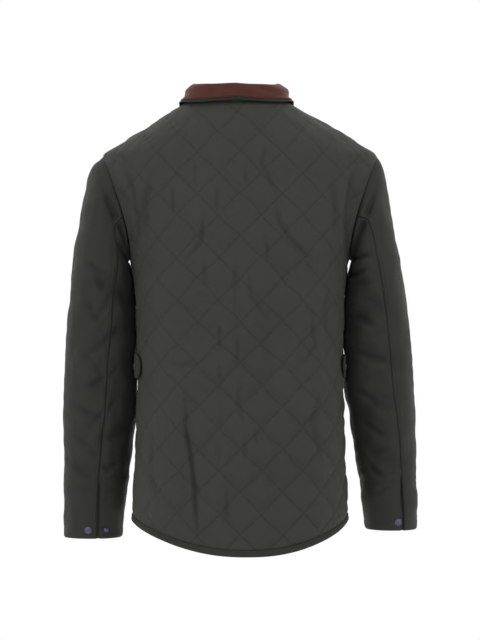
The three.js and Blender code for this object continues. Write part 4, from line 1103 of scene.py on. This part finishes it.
# A sleeve's plain surface, on a smooth curve through its sections
def sleeve_points(place, angle, side):
    last = len(SLEEVE_SECTIONS)
    low = np.clip(place.astype(int), 0, last - 1)
    t = (place - low)[..., None]
    p0 = section_points(np.maximum(low - 1, 0), angle, side)
    p1 = section_points(low, angle, side)
    p2 = section_points(low + 1, angle, side)
    p3 = section_points(np.minimum(low + 2, last), angle, side)
    cubic = (2 * p1 + (p2 - p0) * t + (2 * p0 - 5 * p1 + 4 * p2 - p3) * t ** 2
             + (3 * p1 - p0 - 3 * p2 + p3) * t ** 3) / 2
    return cubic


def back_seam(place, side):
    return lookup(BACK_SEAMS, BACK_SEAM_COLUMNS, "left" if side > 0 else "right", place)


def add_sleeve_piece(name, node, side, upper):
    sections = len(SLEEVE_SECTIONS)
    place = np.linspace(0, sections, 12 * sections + 1)
    middle_z = np.interp(place, np.arange(sections + 1), [-0.17] + [row[2] for row in SLEEVE_SECTIONS])
    slit = SLEEVE_VENT_GAP * smoothstep(SLEEVE_VENT_Z, CUFF_Z, middle_z) / CUFF_RADIUS
    seam = back_seam(place, side)
    if upper:
        share = np.concatenate([np.linspace(0, 0.955, 77), np.linspace(0.955, 1, 13)[1:]])
        start = np.full(place.shape, FRONT_SEAM - 360)
        end = seam - np.degrees(slit)
    else:
        share = np.concatenate([np.linspace(0, 0.12, 17), np.linspace(0.12, 1, 45)[1:]])
        in_vent = smoothstep(SLEEVE_VENT_Z, SLEEVE_VENT_Z - 0.006, middle_z)
        start = seam - np.degrees(VENT_UNDERLAP / CUFF_RADIUS) * in_vent
        end = np.full(place.shape, FRONT_SEAM)
    angle = start[:, None] + (end - start)[:, None] * share[None, :]
    places = place[:, None] * np.ones_like(angle)
    base = sleeve_points(places, angle, side)
    run = np.gradient(base, axis=0)
    around = np.gradient(base, axis=1)
    away = unit(np.cross(run, around))
    centre = sleeve_points(places, angle + 180, side)
    if np.sum(away * (base - centre)) < 0:
        away = -away

    x, z = side * base[..., 0], base[..., 2]
    back_half = np.sin(np.radians(angle)) > 0
    fade = smoothstep(0.02, 0.30, np.abs(np.sin(np.radians(angle))))
    creased = crease_depth(x, z, SLEEVE_CREASES[side])
    hidden = crease_depth(-x, z, SLEEVE_CREASES[-side])
    creased = np.where(back_half, creased, hidden) * fade
    troughs = np.zeros(z.shape)
    for row in SLEEVE_TROUGHS:
        value = dict(zip(TROUGH_COLUMNS, row))
        if value["side"] != side:
            continue
        turn = angle - value["angle"]
        level = z - value["z"] + value["slope"] * turn
        troughs += value["depth"] * np.exp(-((level / value["width"]) ** 2) - (turn / value["spread"]) ** 2)
    along = metres_along(base, 1)
    from_seam = (along[:, -1:] - along) if upper else -along
    waves = 0.0011 * soft_noise(from_seam, z, 0.085, 61 + side)
    waves = waves + 0.0004 * soft_noise(from_seam, z, 0.030, 63 + side)
    margin = margin_of(base)
    flat = smoothstep(0, 0.012, margin)
    lengths = metres_along(base, 0)
    from_cuff = lengths[-1:] - lengths
    from_ends = np.minimum(lengths, from_cuff)
    welt = np.zeros(z.shape)
    if upper:
        ends = 1 - smoothstep(WELT_WIDTH - 0.001, WELT_WIDTH + 0.0012, from_seam)
        raised = smoothstep(0, 0.0012, from_seam) * ends
        rows = sum(np.exp(-(((from_seam - row) / 0.0008) ** 2)) for row in WELT_ROWS)
        welt = (WELT_HEIGHT * raised - 0.0005 * rows) * smoothstep(0, 0.006, from_ends)
    hem_row = sum(0.0007 * np.exp(-(((from_cuff - row) / 0.0014) ** 2)) for row in CUFF_ROWS)
    at_head = smoothstep(HEAD_FOOT_Z, SHOULDER_TIP_Z, z)
    rolled = 0.0008 * (1 - smoothstep(0, 0.005, from_ends)) ** 2 * (1 - at_head)
    rolled = rolled + 0.0009 * (1 - smoothstep(0, 0.002, margin)) ** 2 * (1 - at_head)
    offset = (waves - creased) * flat - troughs * smoothstep(0, 0.02, from_ends) + welt - rolled - hem_row
    if not upper:
        past_seam = np.radians(seam[:, None] - angle) * CUFF_RADIUS
        vented = smoothstep(SLEEVE_VENT_Z, SLEEVE_VENT_Z - 0.02, middle_z)[:, None]
        offset = offset - (WALL + 0.0008) * smoothstep(-0.005, -0.001, past_seam) * vented
    outer = base + away * offset[..., None]
    under = np.minimum(lowest_near(offset, EVERY) - 0.0008, -WALL)[::EVERY, ::EVERY]
    inner = base[::EVERY, ::EVERY] + away[::EVERY, ::EVERY] * under[..., None]
    # Painted shade in the creases, the large troughs, the cuff's sewn rows and along the rolled edges
    painted_shade = np.clip((creased * flat + rolled + hem_row + 0.4 * troughs) / 0.003, -1, 1)
    maps = np.stack([from_seam, z], axis=-1)
    mirror = np.array([side, 1, 1])
    piece = cloth_shell(name, outer * mirror, inner * mirror, maps, painted_shade, [sleeve_cloth, sleeve_lining])
    register(piece, [node])


for sleeve_side, sleeve_word in ((1, "left"), (-1, "right")):
    add_sleeve_piece(sleeve_word + "_sleeve_upper", "sleeve_upper_" + sleeve_word, sleeve_side, True)
    add_sleeve_piece(sleeve_word + "_sleeve_under", "sleeve_under_" + sleeve_word, sleeve_side, False)


# Collar. The neck seam runs from the centre back (u = 0) to the centre front (u = 1).
def neck_points(u, side):
    points = np.zeros((len(u), 3))
    for k, place in enumerate(u):
        if place <= 0.5:
            s = np.array([place * 2 * float(quarter_length(NECK_SIDE_Z, 1))])
            points[k] = torso_points(s, back_neck_height(s), 1, side)[0]
        else:
            turn = (place - 0.5) * math.pi
            z = np.array([NECK_SIDE_Z - (NECK_SIDE_Z - NECK_FRONT_Z) * math.sin(turn)])
            points[k] = torso_points(front_neck_edge(z), z, -1, side)[0]
    return points


# Middle line between the collar's two layers at many stations: up the stand, over, and down the fall
def collar_lines(u, side, shortened):
    seam = neck_points(u, side)
    ahead = neck_points(np.minimum(u + 0.01, 1), side)
    behind = neck_points(np.maximum(u - 0.01, 0), side)
    run = ahead - behind
    run[:, 2] = 0
    run = unit(run)
    away = np.stack([run[:, 1], -run[:, 0], np.zeros(len(u))], axis=-1) * side
    wrong = np.sum(away * (seam + np.array([0, 0.02, 0])) * np.array([1, 1, 0]), axis=-1) < 0
    away[wrong] = -away[wrong]
    up = np.array([0, 0, 1.0])

    def at(field):
        return lookup(COLLAR_STATIONS, COLLAR_COLUMNS, field, u)[:, None]

    line = []
    stand_top = at("stand") - FOLD_RADIUS
    for part in np.linspace(0, 1, 7):
        lift = COLLAR_LIFT + (stand_top - COLLAR_LIFT) * part
        shift = np.array([COLLAR_SHIFT * part, 0, 0])
        line.append(seam + up * lift - away * (at("lean") * part + COLLAR_INSET) + shift)
    axle = line[-1] + away * FOLD_RADIUS
    for turn in np.radians([150, 120, 90, 60, 30, 0]):
        line.append(axle + away * FOLD_RADIUS * math.cos(turn) + up * FOLD_RADIUS * math.sin(turn))
    lean = np.radians(at("flare"))
    way = away * np.sin(lean) - up * np.cos(lean)
    fall = at("fall") - shortened
    for part in np.linspace(0, 1, 13)[1:]:
        line.append(clear_of_torso(axle + away * FOLD_RADIUS + way * fall * part, COLLAR_CLEARANCE))
    line = np.stack(line, axis=1)
    for turn in range(4):
        line[:, 1:-1] = 0.25 * line[:, :-2] + 0.5 * line[:, 1:-1] + 0.25 * line[:, 2:]
    return line, away


def add_collar_layer(name, node, near, far, shortened, finish):
    u = np.linspace(0, COLLAR_END, 73)
    grids = []
    for side in (-1, 1):
        line, away = collar_lines(u, side, shortened)
        across = unit(np.cross(np.array([0, 0, 1.0]), away))
        run = unit(np.gradient(line, axis=1))
        out = unit(np.cross(run, across[:, None, :]))
        grids.append((line[::-1], out[::-1]) if side < 0 else (line[1:], out[1:]))
    line = np.concatenate([grids[0][0], grids[1][0]])
    out = np.concatenate([grids[0][1], grids[1][1]])
    margin = margin_of(line)
    rolled = 0.0007 * (1 - smoothstep(0, 0.003, margin)) ** 2
    lengths = metres_along(line, 1)
    from_edge = lengths[:, -1:] - lengths
    stations = metres_along(line, 0)
    sewn = 0.00035 * np.exp(-(((from_edge - 0.005) / 0.0012) ** 2))
    waves = 0.0007 * soft_noise(stations, from_edge, 0.055, 71) * smoothstep(0, 0.01, margin)
    outer = line + out * (far + waves - rolled - sewn)[..., None]
    inner = (line + out * (near + waves + 0.5 * rolled)[..., None])[::2, ::2]
    maps = np.stack([stations, from_edge], axis=-1)
    # Painted shade along the rolled edges and the sewn line
    painted_shade = np.clip((rolled + sewn) / 0.0012, 0, 1)
    piece = cloth_shell(name, outer, inner, maps, painted_shade, [finish])
    register(piece, [node])


add_collar_layer("collar_upper_layer", "collar_top", 0.00015, 0.00015 + COLLAR_CLOTH, UNDER_COLLAR_SHOW,
                 collar_cloth)
add_collar_layer("collar_under_layer", "collar_under", -0.00015 - COLLAR_CLOTH, -0.00015, 0.0,
                 trim_cloth)


# Snap fasteners: a domed cap with a rolled rim and a ring, turned about its middle
SNAP_OUTLINE = (
    # radius and height, as shares of the snap's own
    (0.97, 0.00), (1.00, 0.14), (1.00, 0.34), (0.95, 0.52), (0.86, 0.60), (0.80, 0.56), (0.76, 0.48),
    (0.70, 0.56), (0.62, 0.78), (0.48, 0.92), (0.30, 0.98), (0.15, 1.00),
)


def add_snap(name, node, place, direction, radius=SNAP_RADIUS):
    around = 40
    turns = 2 * math.pi * np.arange(around) / around
    direction = unit(np.asarray(direction, dtype=float))
    aside = unit(np.cross(direction, np.array([0.1, 0.2, 1.0])))
    third = np.cross(direction, aside)
    spokes = aside[None, :] * np.cos(turns)[:, None] + third[None, :] * np.sin(turns)[:, None]
    rings = [place + spokes * radius * r + direction * SNAP_HEIGHT * h for r, h in SNAP_OUTLINE]
    rings = np.stack(rings)
    maps = rings[..., :2]
    piece = closed_tube(name, rings, maps, snap_metal)
    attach(piece, "root")
    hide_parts(node)
    return piece


def snap_on_torso(name, node, s, z, facing, side, lift):
    base = torso_points(np.array([s]), np.array([z]), facing, side)
    away = unit(outward(base))
    return add_snap(name, node, base[0] + away[0] * lift, away[0])


def snap_on_sleeve(name, node, angle, z, side, radius):
    sections = len(SLEEVE_SECTIONS)
    place = np.array([sections - 1 + (SLEEVE_SECTIONS[-2][2] - z) / (SLEEVE_SECTIONS[-2][2] - CUFF_Z)])
    near = np.array([[angle, angle + 3.0]])
    here = sleeve_points(place[:, None] + np.zeros((1, 2)), near, side)
    above = sleeve_points(place[:, None] - 0.3 + np.zeros((1, 2)), near, side)
    centre = sleeve_points(place[:, None] + np.zeros((1, 2)), near + 180, side)
    away = unit(np.cross(here[0, 1] - here[0, 0], above[0, 0] - here[0, 0]))
    if np.dot(away, here[0, 0] - centre[0, 0]) < 0:
        away = -away
    mirror = np.array([side, 1, 1])
    return add_snap(name, node, here[0, 0] * mirror, away * mirror, radius)


CUFF_SNAP_Z = -0.721
CUFF_SNAPS = (
    # name, node, angle round the sleeve, side, radius
    ("left_cuff_snap", "cuff_snap_left", 84.5, 1, SNAP_RADIUS),
    ("left_cuff_snap_small", "cuff_snap_left_small", 116.5, 1, 0.0045),
    ("right_cuff_snap", "cuff_snap_right", 79, -1, SNAP_RADIUS),
)


def add_snaps():
    for k in range(FRONT_SNAP_COUNT):
        z = FRONT_SNAP_TOP + (FRONT_SNAP_BOTTOM - FRONT_SNAP_TOP) * k / (FRONT_SNAP_COUNT - 1)
        snap_on_torso(f"front_cap_{k + 1}", f"front_snap_{k + 1}", 0.0, z, -1, 1, 0.0002)
    for name, node, angle, side, radius in CUFF_SNAPS:
        snap_on_sleeve(name, node, angle, CUFF_SNAP_Z, side, radius)


# Side tabs at the waist, across each side seam, with a rounded end at the back
def add_tabs():
    rows, columns = 33, 65
    for word, side in (("left", 1), ("right", -1)):
        run = np.linspace(-TAB_FRONT, TAB_BACK[word], columns)
        from_tip = TAB_BACK[word] - run
        reach = 0.020
        narrowing = np.sqrt(np.clip(1 - (1 - np.clip(from_tip / reach, 0, 1)) ** 2.4, 0, 1))
        half = TAB_HEIGHT / 2 * (0.30 + 0.70 * narrowing)
        across = np.linspace(-1, 1, rows)
        z = TAB_TOP - TAB_HEIGHT / 2 + across[:, None] * half[None, :]
        grids = []
        for facing in (-1, 1):
            s = quarter_length(z, facing) - np.abs(run)[None, :]
            base = torso_points(s, z, facing, side)
            grids.append(base)
        behind = (run >= 0)[None, :, None]
        base = np.where(behind, grids[1], grids[0])
        away = unit(outward(base))
        margin = margin_of(base)
        rolled = 0.0008 * (1 - smoothstep(0, 0.003, margin)) ** 2
        sewn = 0.0004 * np.exp(-(((margin - 0.0045) / 0.0010) ** 2))
        waves = 0.0005 * soft_noise(run[None, :] + 0 * z, z, 0.03, 81 + side)
        top = TAB_LIFT + TAB_CLOTH + 0.0004 + waves * smoothstep(0, 0.006, margin) - rolled - sewn
        outer = base + away * top[..., None]
        inner = (base + away * (TAB_LIFT - 0.0006 + 0.5 * rolled)[..., None])[::EVERY, ::EVERY]
        maps = np.stack([run[None, :] + 0 * z, z], axis=-1)
        # Painted shade along the tab's rolled edges and its sewn line
        painted_shade = np.clip((rolled + sewn) / 0.0012, 0, 1)
        piece = cloth_shell(word + "_side_tab", outer, inner, maps, painted_shade, [tab_cloth])
        register(piece, ["tab_" + word])
        snap_z = TAB_TOP - TAB_HEIGHT / 2
        snap_s = float(quarter_length(snap_z, 1)) - TAB_SNAP_REACH
        lift = TAB_LIFT + TAB_CLOTH + 0.0004
        snap_on_torso(word + "_tab_snap", "tab_snap_" + word, snap_s, snap_z, 1, side, lift)


add_snaps()
add_tabs()
